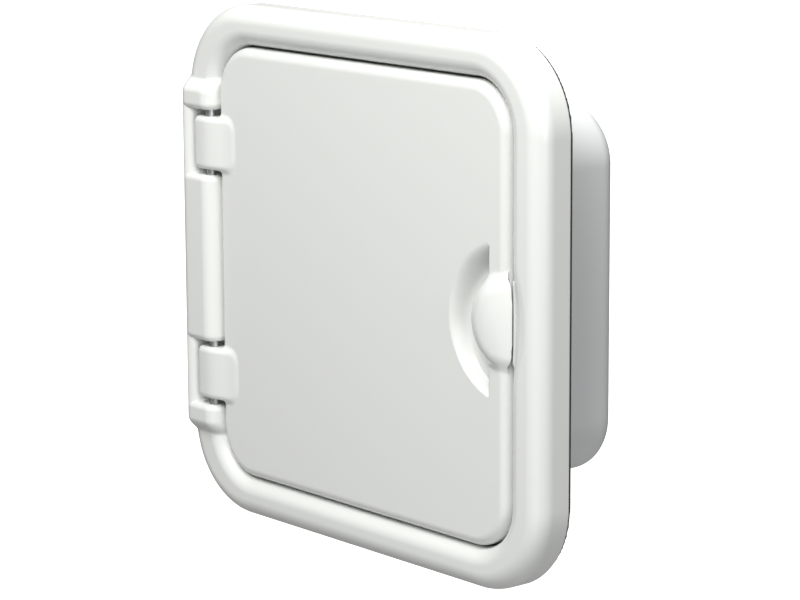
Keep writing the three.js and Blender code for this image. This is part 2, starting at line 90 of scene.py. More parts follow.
def edge(a: Array, b: Array, radius: float) -> Array:
    """What two solids share, with their common outer edge rounded.

    Args:
        a: Field of the first solid.
        b: Field of the second solid.
        radius: Radius of the rounded edge.

    Returns:
        The field of the shared solid.
    """
    corner = np.hypot(np.maximum(a + radius, 0), np.maximum(b + radius, 0))
    return np.minimum(np.maximum(a, b), -radius) + corner


def fillet(a: Array, b: Array, radius: float) -> Array:
    """Two solids joined, with a hollow fillet where they meet.

    Args:
        a: Field of the first solid.
        b: Field of the second solid.
        radius: Radius of the fillet.

    Returns:
        The field of the joined solid.
    """
    corner = np.hypot(np.maximum(radius - a, 0), np.maximum(radius - b, 0))
    return np.maximum(np.minimum(a, b), radius) - corner


def cut(solid: Array, tool: Array, radius: float = 0.0) -> Array:
    """A solid with a tool taken out of it, and the edge of the cut rounded.

    Args:
        solid: Field of the solid.
        tool: Field of what is taken out.
        radius: Radius of the edge round the cut.

    Returns:
        The field of what is left.
    """
    return edge(solid, -tool, radius) if radius else np.maximum(solid, -tool)


def both(*fields: Array) -> Array:
    """What all the solids share, with sharp edges."""
    return functools.reduce(np.maximum, fields)


def either(*fields: Array) -> Array:
    """All the solids together, with sharp corners."""
    return functools.reduce(np.minimum, fields)


def slab(value: Array, low: float, high: float) -> Array:
    """Distance to the layer between two values, negative inside."""
    return np.abs(value - (low + high) / 2) - (high - low) / 2


def ease(low: Array | float, high: float, value: Array) -> Array:
    """A smooth step from 0 at one value to 1 at another.

    Args:
        low: Where the step starts.
        high: Where the step ends.
        value: Places along the step.

    Returns:
        The step's height at each place.
    """
    t = np.clip((value - low) / (high - low), 0, 1)
    return t * t * (3 - 2 * t)


def rule(start: float, *stretches: tuple[float, float]) -> Array:
    """Grid lines along one axis, with a spacing for each stretch.

    Args:
        start: The first line.
        stretches: The end and the spacing of each stretch in turn.

    Returns:
        The places of the lines.
    """
    lines = [np.array([start])]
    for end, spacing in stretches:
        count = max(1, round((end - start) / spacing))
        lines.append(np.linspace(start, end, count + 1)[1:])
        start = end
    return np.concatenate(lines)


def mirrored(*stretches: tuple[float, float]) -> Array:
    """Grid lines on both sides of the middle, from stretches that run outwards."""
    half = rule(0.0, *stretches)
    return np.concatenate([-half[:0:-1], half])


@dataclass(frozen=True)
class Outline:
    """A rounded rectangle seen from the front."""

    half_width: float
    half_height: float
    corner: float
    centre: float = 0.0


@dataclass(frozen=True)
class Skin:
    """The skin of a solid field, as one closed mesh with its vertices drawn onto the surface."""

    field: Field
    xs: Array
    ys: Array
    zs: Array
    keep: float = 1.0
    rounds: int = 3
    probe: float = 0.02

    def _slope(self, points: Array) -> Array:
        """The field's gradient at some points.

        Args:
            points: The points.

        Returns:
            One gradient for each point.
        """
        parts = []
        for axis in range(3):
            step = np.zeros(3)
            step[axis] = self.probe
            parts.append(self.field(*(points + step).T) - self.field(*(points - step).T))
        return np.stack(parts, axis=1) / (2 * self.probe)

    def _drawn(self, points: Array, reach: Array) -> Array:
        """Points moved onto the surface, each by no more than its reach.

        Args:
            points: The points.
            reach: How far each may move.

        Returns:
            The moved points.
        """
        start = points.copy()
        for _ in range(self.rounds):
            slope = self._slope(points)
            square = np.maximum((slope**2).sum(axis=1), 1e-3)
            points = points - slope * (self.field(*points.T) / square)[:, None]
            moved = points - start
            length = np.maximum(np.linalg.norm(moved, axis=1), 1e-9)
            points = start + moved * np.minimum(1, reach / length)[:, None]
        return points

    def _net(self) -> tuple[Array, Array, Array]:
        """The surface net of the field.

        Returns:
            The vertices, each vertex's reach, and the four-sided faces.
        """
        lines = [self.xs, self.ys, self.zs]
        grid = np.meshgrid(*lines, indexing="ij", sparse=True)
        shape = tuple(len(line) for line in lines)
        values = np.broadcast_to(self.field(*grid), shape)
        solid = values < 0
        cells = tuple(n - 1 for n in shape)
        total = np.zeros((4, math.prod(cells)))
        faces = []
        for axis in range(3):
            low = tuple(slice(0, -1) if k == axis else slice(None) for k in range(3))
            high = tuple(slice(1, None) if k == axis else slice(None) for k in range(3))
            crossing = np.nonzero(solid[low] != solid[high])
            first, last = values[low][crossing], values[high][crossing]
            place = [lines[k][crossing[k]] for k in range(3)]
            share = first / (first - last)
            place[axis] = place[axis] + share * (lines[axis][crossing[axis] + 1] - place[axis])
            b, c = (axis + 1) % 3, (axis + 2) % 3
            corners = []
            for back_b, back_c in ((1, 1), (0, 1), (0, 0), (1, 0)):
                index = list(crossing)
                index[b] = index[b] - back_b
                index[c] = index[c] - back_c
                cell = np.ravel_multi_index(index, cells)
                corners.append(cell)
                for k in range(3):
                    total[k] += np.bincount(cell, place[k], total.shape[1])
                total[3] += np.bincount(cell, minlength=total.shape[1])
            quads = np.stack(corners, axis=1)
            inwards = ~solid[low][crossing]
            quads[inwards] = quads[inwards][:, ::-1]
            faces.append(quads)
        used = np.nonzero(total[3])[0]
        number = np.full(total.shape[1], -1)
        number[used] = np.arange(len(used))
        points = (total[:3, used] / total[3, used]).T
        place = np.unravel_index(used, cells)
        sizes = np.stack([np.diff(lines[k])[place[k]] for k in range(3)], axis=1)
        return points, sizes.min(axis=1) * 0.9, number[np.concatenate(faces)]

    def mesh(self, name: str) -> bpy.types.Mesh:
        """The skin as a mesh in metres, shaded by the field's own slope.

        Args:
            name: The mesh's name.

        Returns:
            The new mesh.
        """
        points, reach, faces = self._net()
        points = self._drawn(points, reach)
        mesh = new_mesh(name, points * METRES, faces)
        if self.keep < 1:
            mesh = thinned(mesh, self.keep)
            points = vertices_of(mesh) / METRES
            points = self._drawn(points, np.full(len(points), 0.05))
            mesh.vertices.foreach_set("co", (points * METRES).astype(np.float32).ravel())
        slope = self._slope(points)
        slope /= np.maximum(np.linalg.norm(slope, axis=1), 1e-9)[:, None]
        mesh.normals_split_custom_set_from_vertices(slope.tolist())
        return mesh


def new_mesh(name: str, points: Array, faces: Array | list) -> bpy.types.Mesh:
    """A smooth-shaded mesh.

    Args:
        name: The mesh's name.
        points: The vertices, in metres.
        faces: The faces, as vertex numbers.

    Returns:
        The new mesh.
    """
    mesh = bpy.data.meshes.new(name)
    mesh.from_pydata(np.asarray(points).tolist(), [], np.asarray(faces).tolist())
    mesh.shade_smooth()
    mesh.update()
    return mesh


def vertices_of(mesh: bpy.types.Mesh) -> Array:
    """The places of a mesh's vertices.

    Args:
        mesh: The mesh.

    Returns:
        One row for each vertex, in metres.
    """
    places = np.zeros(len(mesh.vertices) * 3, np.float32)
    mesh.vertices.foreach_get("co", places)
    return places.reshape(-1, 3).astype(float)


def thinned(mesh: bpy.types.Mesh, keep: float) -> bpy.types.Mesh:
    """A mesh with fewer faces where it is flat.

    Args:
        mesh: The full mesh, which is removed.
        keep: The share of its triangles to keep.

    Returns:
        The lighter mesh.
    """
    name = mesh.name
    holder = bpy.data.objects.new(name, mesh)
    bpy.context.scene.collection.objects.link(holder)
    modifier = holder.modifiers.new("thin", "DECIMATE")
    modifier.ratio = keep
    light = bpy.data.meshes.new_from_object(holder.evaluated_get(bpy.context.evaluated_depsgraph_get()))
    bpy.data.objects.remove(holder)
    bpy.data.meshes.remove(mesh)
    light.name = name
    light.shade_smooth()
    return light


# ------------------------------------------------------------------ node materials


class Value:
    """A number socket that takes part in arithmetic."""

    def __init__(self, shader: "Shader", socket: bpy.types.NodeSocket) -> None:
        """Wraps a socket of the shader's tree."""
        self.shader = shader
        self.socket = socket

    def _with(self, operation: str, first: object, second: object) -> "Value":
        """The result of a Math node on two values."""
        node = self.shader.node("ShaderNodeMath", {"operation": operation}, {0: first, 1: second})
        return Value(self.shader, node.outputs[0])

    def __add__(self, other: "Value | float") -> "Value":
        """This value plus another."""
        return self._with("ADD", self, other)

    def __sub__(self, other: "Value | float") -> "Value":
        """This value less another."""
        return self._with("SUBTRACT", self, other)

    def __mul__(self, other: "Value | float") -> "Value":
        """This value times another."""
        return self._with("MULTIPLY", self, other)

    __radd__ = __add__

    def step(self, low: float, high: float) -> "Value":
        """A soft step of this value, from 0 at low to 1 at high.

        Args:
            low: Where the step starts.
            high: Where it ends.

        Returns:
            The step's value.
        """
        settings = {"interpolation_type": "SMOOTHSTEP"}
        node = self.shader.node("ShaderNodeMapRange", settings, {0: self, 1: low, 2: high})
        return Value(self.shader, node.outputs[0])


Colour = tuple[float, float, float]


class Shader:
    """Builds one node material."""

    def __init__(self, name: str) -> None:
        """Starts an empty node tree with its output and its main shader.

        Args:
            name: The material's name.
        """
        self.material = bpy.data.materials.new(name)
        self.material.use_nodes = True
        self.tree = self.material.node_tree
        self.tree.nodes.clear()
        self.main = self.node("ShaderNodeBsdfPrincipled", {}, {})
        self.node("ShaderNodeOutputMaterial", {}, {"Surface": self.main.outputs[0]})
        self.place = self.node("ShaderNodeTexCoord", {}, {}).outputs["Object"]

    def node(self, kind: str, settings: dict, sockets: dict) -> bpy.types.Node:
        """Adds a node.

        Args:
            kind: The node's type.
            settings: Its own settings; "stops" are a ramp's places and colours.
            sockets: What goes into its inputs, by name or number: values, or links.

        Returns:
            The new node.
        """
        node = self.tree.nodes.new(kind)
        for key, value in settings.items():
            if key == "stops":
                while len(node.color_ramp.elements) < len(value):
                    node.color_ramp.elements.new(1.0)
                for element, (position, colour) in zip(node.color_ramp.elements, value):
                    element.position = position
                    element.color = (*colour, 1)
            else:
                setattr(node, key, value)
        for key, value in sockets.items():
            source = value.socket if isinstance(value, Value) else value
            if isinstance(source, bpy.types.NodeSocket):
                self.tree.links.new(source, node.inputs[key])
            else:
                node.inputs[key].default_value = source
        return node

    def noise(self, size: float, detail: float = 2.0, stretch: Colour = (1, 1, 1)) -> Value:
        """Soft noise on the piece's own coordinates.

        Args:
            size: The size of its blotches, in millimetres.
            detail: How many finer layers it has.
            stretch: How many times denser it is along each axis.

        Returns:
            The noise, about 0.5 on average.
        """
        place = self.place
        if stretch != (1, 1, 1):
            place = self.node("ShaderNodeMapping", {}, {"Vector": place, "Scale": stretch}).outputs[0]
        sockets = {"Vector": place, "Scale": 1 / (size * METRES), "Detail": detail}
        return Value(self, self.node("ShaderNodeTexNoise", {}, sockets).outputs[0])

    def cells(self, size: float, spread: float = 1.0) -> Value:
        """Distance from scattered points, in cell widths, for specks and pores."""
        sockets = {"Vector": self.place, "Scale": 1 / (size * METRES), "Randomness": spread}
        return Value(self, self.node("ShaderNodeTexVoronoi", {}, sockets).outputs["Distance"])

    def blend(self, first: object, second: object, share: "Value | float") -> bpy.types.NodeSocket:
        """A mix of two colours.

        Args:
            first: The colour at 0.
            second: The colour at 1.
            share: How much of the second colour there is.

        Returns:
            The mixed colour's socket.
        """
        colours = [(*c, 1) if isinstance(c, tuple) else c for c in (first, second)]
        node = self.node("ShaderNodeMix", {"data_type": "RGBA"}, {0: share, 6: colours[0], 7: colours[1]})
        return node.outputs[2]

    def bump(self, height: Value, depth: float, strength: float = 1.0) -> bpy.types.NodeSocket:
        """A bumped normal, from a height of 0 to 1 and a depth in millimetres."""
        sockets = {"Height": height, "Distance": depth * METRES, "Strength": strength}
        return self.node("ShaderNodeBump", {}, sockets).outputs[0]

    def finish(self, **inputs: object) -> bpy.types.Material:
        """Sets the main shader's inputs.

        Args:
            inputs: Numbers, colours or links by input name, with _ in place of spaces.

        Returns:
            The finished material.
        """
        for key, value in inputs.items():
            target = self.main.inputs[key.replace("_", " ")]
            source = value.socket if isinstance(value, Value) else value
            if isinstance(source, bpy.types.NodeSocket):
                self.tree.links.new(source, target)
            else:
                target.default_value = (*source, 1) if isinstance(source, tuple) else source
        return self.material


@dataclass(frozen=True)
class MouldedPlastic:
    """White plastic from a polished mould: a faint ripple, fine grain and a few specks."""

    name: str
    colour: Colour
    shade: Colour
    roughness: float
    ripple: float = 0.02
    drag: float = 0.0

    def material(self) -> bpy.types.Material:
        """The finish as a node material.

        Returns:
            The new material.
        """
        shader = Shader(self.name)
        cloud = shader.noise(70, 3)
        peel = shader.noise(2.6, 1)
        grain = shader.noise(0.35, 3)
        drag = shader.noise(9, 3, (1, 0.06, 1))
        patch = shader.noise(26, 2).step(0.5, 0.64)
        specks = shader.cells(2.1).step(0.085, 0.05) * patch
        dirt = cloud.step(0.3, 0.75) * 0.6 + grain.step(0.55, 0.8) * 0.25 + drag.step(0.5, 0.8) * self.drag
        colour = shader.blend(self.colour, self.shade, dirt)
        colour = shader.blend(colour, (0.42, 0.40, 0.36), specks * 0.45)
        rough = self.roughness + (cloud - 0.5) * 0.1 + (grain - 0.5) * 0.12 + drag * self.drag * 0.1
        height = peel * 0.6 + grain * 0.22 + specks * 0.3
        return shader.finish(
            Base_Color=colour,
            Roughness=rough + specks * 0.2,
            Normal=shader.bump(height, self.ripple, 0.5),
            IOR=1.5,
        )


@dataclass(frozen=True)
class Rubber:
    """Dark sealing rubber with a dusty, slightly pitted skin, or foam with open cells."""

    name: str
    colour: Colour
    dust: Colour
    cell: float
    depth: float

    def material(self) -> bpy.types.Material:
        """The finish as a node material.

        Returns:
            The new material.
        """
        shader = Shader(self.name)
        pits = shader.cells(self.cell).step(0.15, 0.75)
        grain = shader.noise(0.25, 3)
        dusty = shader.noise(9, 3).step(0.42, 0.75) * 0.5 + grain.step(0.5, 0.9) * 0.35
        return shader.finish(
            Base_Color=shader.blend(self.colour, self.dust, dusty * (pits * 0.6 + 0.4)),
            Roughness=0.62 + dusty * 0.3,
            Normal=shader.bump(pits * 0.7 + grain * 0.3, self.depth, 0.7),
        )


class Lay(Enum):
    """The way the tool marks run on a metal piece."""

    TURNED = (1.0, 0.05, 0.05)
    FACED = (1.0, 1.0, 1.0)


@dataclass(frozen=True)
class Metal:
    """Worked metal: fine tool marks, small scratches and a tarnish that gathers in patches."""

    name: str
    colour: Colour
    tarnish: Colour
    roughness: float
    lay: Lay = Lay.FACED

    def material(self) -> bpy.types.Material:
        """The finish as a node material.

        Returns:
            The new material.
        """
        shader = Shader(self.name)
        marks = shader.noise(0.12, 2, self.lay.value)
        wear = shader.noise(3.5, 4).step(0.45, 0.72)
        fine = shader.noise(0.5, 4)
        return shader.finish(
            Base_Color=shader.blend(self.colour, self.tarnish, wear * 0.5 + fine.step(0.5, 0.8) * 0.2),
            Metallic=1.0,
            Roughness=self.roughness + wear * 0.14 + (marks - 0.5) * 0.16,
            Normal=shader.bump(marks * 0.7 + fine * 0.3, 0.006, 0.6),
        )


@dataclass(frozen=True)
class StagePaint:
    """Plain matt paint for the floor, or a lit white screen."""

    name: str
    colour: Colour
    glow: float = 0.0

    def material(self) -> bpy.types.Material:
        """The finish as a node material.

        Returns:
            The new material.
        """
        shader = Shader(self.name)
        tone = shader.noise(400, 2)
        shade = tuple(c * 0.97 for c in self.colour)
        return shader.finish(
            Base_Color=shader.blend(self.colour, shade, tone),
            Roughness=0.9,
            Emission_Color=(1.0, 1.0, 1.0),
            Emission_Strength=self.glow,
        )


class Finish(Enum):
    """The finishes, by the record's material slot."""

    WHITE_GLOSS = MouldedPlastic("white_gloss", (0.805, 0.80, 0.79), (0.775, 0.77, 0.755), 0.30)
    BOX_WHITE = MouldedPlastic("box_white", (0.74, 0.745, 0.74), (0.70, 0.70, 0.69), 0.42, 0.03, 0.35)
    GASKET_RUBBER = Rubber("gasket_rubber", (0.19, 0.18, 0.168), (0.25, 0.24, 0.225), 1.4, 0.06)
    SEAL_FOAM = Rubber("seal_foam", (0.115, 0.095, 0.07), (0.2, 0.175, 0.14), 0.7, 0.2)
    # Painted shade: the stainless colour and its tarnish are darkened well past clean steel, so the hinge
    # pins read as the dark shadow in the slot gaps. The screws, the bolt and the keeper plate share this
    # colour.
    STAINLESS = Metal("stainless", (0.28, 0.27, 0.25), (0.18, 0.17, 0.155), 0.46)
    SPRING_STEEL = Metal("spring_steel", (0.50, 0.51, 0.52), (0.30, 0.30, 0.31), 0.28, Lay.TURNED)
    CATCH_BRASS = Metal("catch_brass", (0.72, 0.55, 0.27), (0.42, 0.31, 0.15), 0.26, Lay.TURNED)

    def material(self) -> bpy.types.Material:
        """The material, made once."""
        return bpy.data.materials.get(self.value.name) or self.value.material()


# ------------------------------------------------------------------ the shop floor


class Body(Enum):
    """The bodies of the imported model."""

    CASE = "case"
    DOOR = "door"
    CATCH = "catch"


def place(mesh: bpy.types.Mesh, body: Body, finish: Finish, *nodes: str) -> bpy.types.Object:
    """Puts a finished mesh in the scene as a piece of the hatch.

    Args:
        mesh: The mesh, with its place in its vertices.
        body: The body it moves with.
        finish: Its finish.
        nodes: The CAD nodes it stands for.

    Returns:
        The new object.
    """
    piece = bpy.data.objects.new(mesh.name, mesh)
    bpy.context.scene.collection.objects.link(piece)
    mesh.materials.clear()
    mesh.materials.append(finish.material())
    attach(piece, body.value)
    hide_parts(*nodes)
    faces = sum(len(face.vertices) - 2 for face in mesh.polygons)
    LOG.info("%s on %s: %d triangles, for %s", piece.name, body.value, faces, ", ".join(nodes))
    return piece


@dataclass(frozen=True)
class Stack:
    """Depths from the bulkhead's face, with the front negative."""

    gasket_front: float = -1.5
    frame_back: float = -1.8
    rim_front: float = -3.9
    sill_back: float = -4.2
    sill_front: float = -6.6
    door_back: float = -9.2
    liner_front: float = -11.2
    skin_inside: float = -15.0
    door_front: float = -17.5
    frame_front: float = -18.5
    bar_front: float = -22.5


STACK = Stack()
GAP = 0.3
SLOPE_45 = math.sqrt(0.5)
HINGE_X = -99.2
HINGE_Y = -16.5
CATCH_Y = -12.2
OPENING = Outline(95.55, 96.15, 22, 1.25)
DOOR_OUTLINE = Outline(94.35, 95.25, 20.8, 1.25)


def hinge_reach(x: Array, y: Array) -> Array:
    """Distance from the hinge's axis."""
    return np.hypot(x - HINGE_X, y - HINGE_Y)


@dataclass(frozen=True)
class MountHoles:
    """The eight countersunk holes for the screws that hold the hatch to the bulkhead."""

    radius: float = 2.3
    sink: float = 4.2
    line: float = 88.5
    pitch: float = 46.0

    def reach(self, x: Array, z: Array) -> Array:
        """Distance from the nearest hole's middle.

        Args:
            x: Places across.
            z: Places up.

        Returns:
            The distance at each place.
        """
        across, up = np.abs(x), np.abs(z)
        first = np.hypot(across - self.pitch, up - self.line)
        return np.minimum(first, np.hypot(across - self.line, up - self.pitch))


@dataclass(frozen=True)
class BoxScrews:
    """The four corners where the box is screwed to the frame from behind."""

    place: float = 80.5
    shank: float = 1.2
    boss: float = 3.2
    boss_front: float = -8.8
    hole_front: float = -7.2

    def reach(self, x: Array, z: Array) -> Array:
        """Distance from the nearest screw's line."""
        return np.hypot(np.abs(x) - self.place, np.abs(z) - self.place)


MOUNT_HOLES = MountHoles()
BOX_SCREWS = BoxScrews()


@dataclass(frozen=True)
class HingeBar:
    """The raised bar along the left border, with two slots for the door's lugs."""

    left: float = -115.6
    right: float = -93.6
    half_length: float = 73.5
    foot: float = 87.0
    foot_front: float = -12.0
    left_round: float = 6.0
    right_round: float = 6.0
    back: float = -13.2
    slot_from: float = 37.4
    slot_to: float = 66.2
    slot_round: float = 2.8
    sweep: float = 8.7
    lip_left: float = -111.9
    lip_back: float = -18.5
    lip_front: float = -22.8
    steepest: float = 0.97
    door_overlap: float = 3.0
    mouth_overlap: float = 1.0
    pin_from: float = 30.0
    pin_to: float = 74.3
    pin_room: float = 2.3

    def bar(self, x: Array, y: Array, z: Array, outer: Array) -> Array:
        """The bar without its slots.

        Args:
            x: Places across.
            y: Places in depth.
            z: Places up.
            outer: The frame's outline, which the bar keeps inside.

        Returns:
            The bar's field.
        """
        ramp = ease(self.foot, self.half_length, np.abs(z))
        front = self.foot_front + (STACK.bar_front - self.foot_front) * ramp - y
        left = edge(np.maximum(self.left - x, outer), front, self.left_round)
        right = edge(x - self.right, front, self.right_round)
        return both(left, right, y - self.back)

    def slots(self, x: Array, y: Array, z: Array) -> Array:
        """The room in which the lugs turn, open to the front and to the door.

        Args:
            x: Places across.
            y: Places in depth.
            z: Places up.

        Returns:
            The field of that room.
        """
        barrel = hinge_reach(x, y) - self.sweep
        door_left = OPENING.centre - OPENING.half_width + self.door_overlap
        door_side = both(HINGE_X - x, x - door_left, y - STACK.sill_front + GAP)
        deep = HINGE_X - self.sweep
        turn = np.clip((self.lip_back - y) / (self.lip_back - self.lip_front), 0, self.steepest)
        wall = deep - (deep - self.lip_left) * (1 - np.sqrt(1 - turn**2))
        mouth = both(wall - x, x - HINGE_X - self.mouth_overlap, y - HINGE_Y)
        section = either(barrel, door_side, mouth)
        return np.maximum(section, slab(np.abs(z), self.slot_from, self.slot_to))

    def pin_bores(self, x: Array, y: Array, z: Array) -> Array:
        """The bores for the two hinge pins."""
        return np.maximum(hinge_reach(x, y) - self.pin_room, slab(np.abs(z), self.pin_from, self.pin_to))


@dataclass(frozen=True)
class Scallop:
    """The slope cut in the frame beside the pull, so that fingertips reach it."""

    centre: float = 52.3
    radius: float = 49.5
    at: float = -16.0
    back: float = -16.2
    mouth_round: float = 2.6
    floor_round: float = 2.0
    shelf_left: float = 96.85
    shelf_right: float = 104.0
    shelf_front: float = -16.8
    shelf_back: float = -10.0
    shelf_half: float = 17.5
    shelf_round: float = 0.8

    def shelf(self, x: Array, y: Array, z: Array) -> Array:
        """The block that the pull's right end stands over."""
        ends = edge(self.shelf_left - x, np.abs(z) - self.shelf_half, self.shelf_round)
        return both(ends, x - self.shelf_right, self.shelf_front - y, y - self.shelf_back)

    def tool(self, x: Array, y: Array, z: Array) -> Array:
        """The cone that is cut out."""
        cone = np.hypot(x - self.centre, z) - (self.radius + self.at - y)
        return edge(cone * SLOPE_45, y - self.back, self.floor_round)


@dataclass(frozen=True)
class FlangedFrame:
    """The frame that covers the edge of the cut-out, with the sill that the door closes on."""

    outer: Outline = Outline(116, 113.4, 39)
    sill_hole: Outline = Outline(76, 76, 23)
    pocket: Outline = Outline(93.3, 93.3, 30.3)
    groove: Outline = Outline(84.35, 84.35, 26.35)
    groove_width: float = 2.3
    groove_front: float = -5.4
    outer_round: float = 8.0
    inner_round: float = 7.0
    back_round: float = 0.4
    sill_lap: float = 3.0
    sill_round: float = 0.7
    sill_fillet: float = 1.0
    bar_fillet: float = 0.9
    boss_round: float = 0.6
    boss_fillet: float = 0.8
    sink_depth: float = 1.4
    keeper_left: float = 90.0
    keeper_right: float = 97.6
    keeper_front: float = -13.4
    keeper_back: float = -7.0
    keeper_half: float = 10.3
    keeper_round: float = 0.25
    hinge: HingeBar = HingeBar()
    scallop: Scallop = Scallop()

    def field(self, x: Array, y: Array, z: Array) -> Array:
        """The whole frame.

        Args:
            x: Places across.
            y: Places in depth.
            z: Places up.

        Returns:
            The frame's field.
        """
        outer = plan(x, z, self.outer)
        opening = plan(x, z, OPENING)
        front = STACK.frame_front - y
        solid = np.maximum(edge(outer, front, self.outer_round), edge(-opening, front, self.inner_round))
        sill = edge(-plan(x, z, self.sill_hole), STACK.sill_front - y, self.sill_round)
        solid = fillet(solid, np.maximum(sill, opening - self.sill_lap), self.sill_fillet)
        solid = fillet(solid, self.hinge.bar(x, y, z, outer), self.bar_fillet)
        solid = cut(solid, self.hinge.slots(x, y, z), self.hinge.slot_round)
        solid = cut(solid, self.hinge.pin_bores(x, y, z))
        solid = np.minimum(solid, self.scallop.shelf(x, y, z))
        solid = cut(solid, self.scallop.tool(x, y, z), self.scallop.mouth_round)
        solid = self._fixings(x, y, z, solid)
        pocket = np.maximum(plan(x, z, self.pocket), STACK.sill_back - y)
        ring = slab(plan(x, z, self.groove), -self.groove_width, 0)
        groove = np.maximum(ring, self.groove_front - y)
        return cut(edge(solid, y - STACK.frame_back, self.back_round), np.minimum(pocket, groove))

    def _fixings(self, x: Array, y: Array, z: Array, solid: Array) -> Array:
        """The frame with its bosses, screw holes and the keeper's seat.

        Args:
            x: Places across.
            y: Places in depth.
            z: Places up.
            solid: The frame's field so far.

        Returns:
            The frame's field with them.
        """
        corner = BOX_SCREWS.reach(x, z)
        boss = edge(corner - BOX_SCREWS.boss, BOX_SCREWS.boss_front - y, self.boss_round)
        solid = fillet(solid, boss, self.boss_fillet)
        solid = cut(solid, np.maximum(corner - BOX_SCREWS.shank - GAP, BOX_SCREWS.hole_front - y))
        hole = MOUNT_HOLES.reach(x, z)
        sink = (hole - MOUNT_HOLES.sink + y - STACK.sill_front) * SLOPE_45
        bore = np.minimum(hole - MOUNT_HOLES.radius, sink)
        solid = cut(solid, np.maximum(bore, STACK.sill_front - self.sink_depth - y))
        seat = np.maximum(slab(x, self.keeper_left, self.keeper_right), np.abs(z) - self.keeper_half)
        seat = np.maximum(seat, slab(y, self.keeper_front, self.keeper_back))
        return cut(solid, seat, self.keeper_round)

    def build(self) -> None:
        """Makes the frame."""
        across = rule(-117.2, (-90, 0.6), (-70, 1.3), (-52, 1.9), (-40, 1.0), (40, 3.2), (52, 1.0),
                      (70, 1.9), (91, 1.3), (117.2, 0.7))
        up = mirrored((26, 1.25), (34, 1.0), (89, 0.72), (114.6, 0.85))
        depth = rule(-23.4, (-17.2, 0.45), (-9, 0.75), (-1.2, 0.5))
        skin = Skin(self.field, across, depth, up, keep=0.62)
        place(skin.mesh("hatch_frame"), Body.CASE, Finish.WHITE_GLOSS, "frame")


@dataclass(frozen=True)
class StorageBox:
    """The moulded box, with a rim that is screwed into the frame's pocket."""

    mouth: Outline = Outline(79, 79, 25.5)
    rim: Outline = Outline(93, 93, 30)
    taper: float = 1.0
    wall: float = 2.5
    depth: float = 61.0
    rear_round: float = 8.5
    rim_fillet: float = 0.8
    lip_round: float = 0.5
    holes_back: float = -1.0

    def field(self, x: Array, y: Array, z: Array) -> Array:
        """The whole box.

        Args:
            x: Places across.
            y: Places in depth.
            z: Places up.

        Returns:
            The box's field.
        """
        side = plan(x, z, self.mouth) + self.taper * np.clip(y / self.depth, 0, 1)
        outside = edge(side, y - self.depth, self.rear_round)
        inside = edge(side + self.wall, y - self.depth + self.wall, self.rear_round - self.wall)
        rim = np.maximum(plan(x, z, self.rim), slab(y, STACK.rim_front, STACK.frame_back))
        solid = fillet(outside, rim, self.rim_fillet)
        solid = cut(np.maximum(solid, STACK.rim_front - y), inside, self.lip_round)
        shanks = BOX_SCREWS.reach(x, z) - BOX_SCREWS.shank - GAP
        holes = np.minimum(shanks, MOUNT_HOLES.reach(x, z) - MOUNT_HOLES.radius)
        return cut(solid, np.maximum(holes, y - self.holes_back))

    def build(self) -> None:
        """Makes the box."""
        side = mirrored((40, 2.7), (52, 1.1), (68, 1.6), (94.6, 0.85))
        depth = rule(-4.6, (-1, 0.45), (3, 0.8), (50, 3.2), (62, 0.85))
        skin = Skin(self.field, side, depth, side, keep=0.75)
        place(skin.mesh("storage_box_moulding"), Body.CASE, Finish.BOX_WHITE, "storage_box")


@dataclass(frozen=True)
class Seals:
    """The gasket behind the frame, the seal under the box's rim and the foam that the door meets."""

    gasket: Outline = Outline(115, 112.4, 38)
    gasket_inner: Outline = Outline(80.5, 80.5, 27)
    screw_room: float = 3.4
    foam: Outline = Outline(83, 83, 28)
    foam_width: float = 4.5
    foam_front: float = -8.9
    cord: Outline = Outline(84, 84, 26)
    cord_width: float = 1.6
    cord_front: float = -5.1
    sheet_round: float = 0.25
    foam_round: float = 0.7
    foam_crown: float = 0.06
    cord_round: float = 0.3

    def gasket_field(self, x: Array, y: Array, z: Array) -> Array:
        """The flat gasket, with its holes.

        Args:
            x: Places across.
            y: Places in depth.
            z: Places up.

        Returns:
            The gasket's field.
        """
        ring = np.maximum(plan(x, z, self.gasket), -plan(x, z, self.gasket_inner))
        bores = MOUNT_HOLES.reach(x, z) - MOUNT_HOLES.radius
        holes = np.minimum(BOX_SCREWS.reach(x, z) - self.screw_room, bores)
        return edge(np.maximum(ring, -holes), slab(y, STACK.gasket_front, 0), self.sheet_round)

    def foam_field(self, x: Array, y: Array, z: Array) -> Array:
        """The foam strip on the sill, with a crowned front.

        Args:
            x: Places across.
            y: Places in depth.
            z: Places up.

        Returns:
            The strip's field.
        """
        middle = plan(x, z, self.foam) + self.foam_width / 2
        front = self.foam_front - y + self.foam_crown * middle**2
        strip = edge(np.abs(middle) - self.foam_width / 2, front, self.foam_round)
        return strip + np.maximum(0, y - STACK.sill_front + GAP) * 10

    def cord_field(self, x: Array, y: Array, z: Array) -> Array:
        """The thin seal in the groove of the sill."""
        ring = slab(plan(x, z, self.cord), -self.cord_width, 0)
        return edge(ring, slab(y, self.cord_front, STACK.sill_back), self.cord_round)

    def build(self) -> None:
        """Makes the three seals."""
        side = mirrored((40, 2.4), (52, 1.1), (74, 1.7), (116, 1.1))
        skin = Skin(self.gasket_field, side, rule(-1.9, (0.4, 0.33)), side, keep=0.7)
        place(skin.mesh("gasket_sheet"), Body.CASE, Finish.GASKET_RUBBER, "mounting_gasket")
        side = mirrored((54, 3.0), (86, 0.8))
        skin = Skin(self.foam_field, side, rule(-9.4, (-6.2, 0.4)), side)
        place(skin.mesh("door_foam"), Body.CASE, Finish.SEAL_FOAM, "door_seal")
        side = mirrored((56, 3.0), (86, 0.5))
        skin = Skin(self.cord_field, side, rule(-5.6, (-3.7, 0.22)), side)
        place(skin.mesh("rim_seal"), Body.CASE, Finish.GASKET_RUBBER, "box_seal")


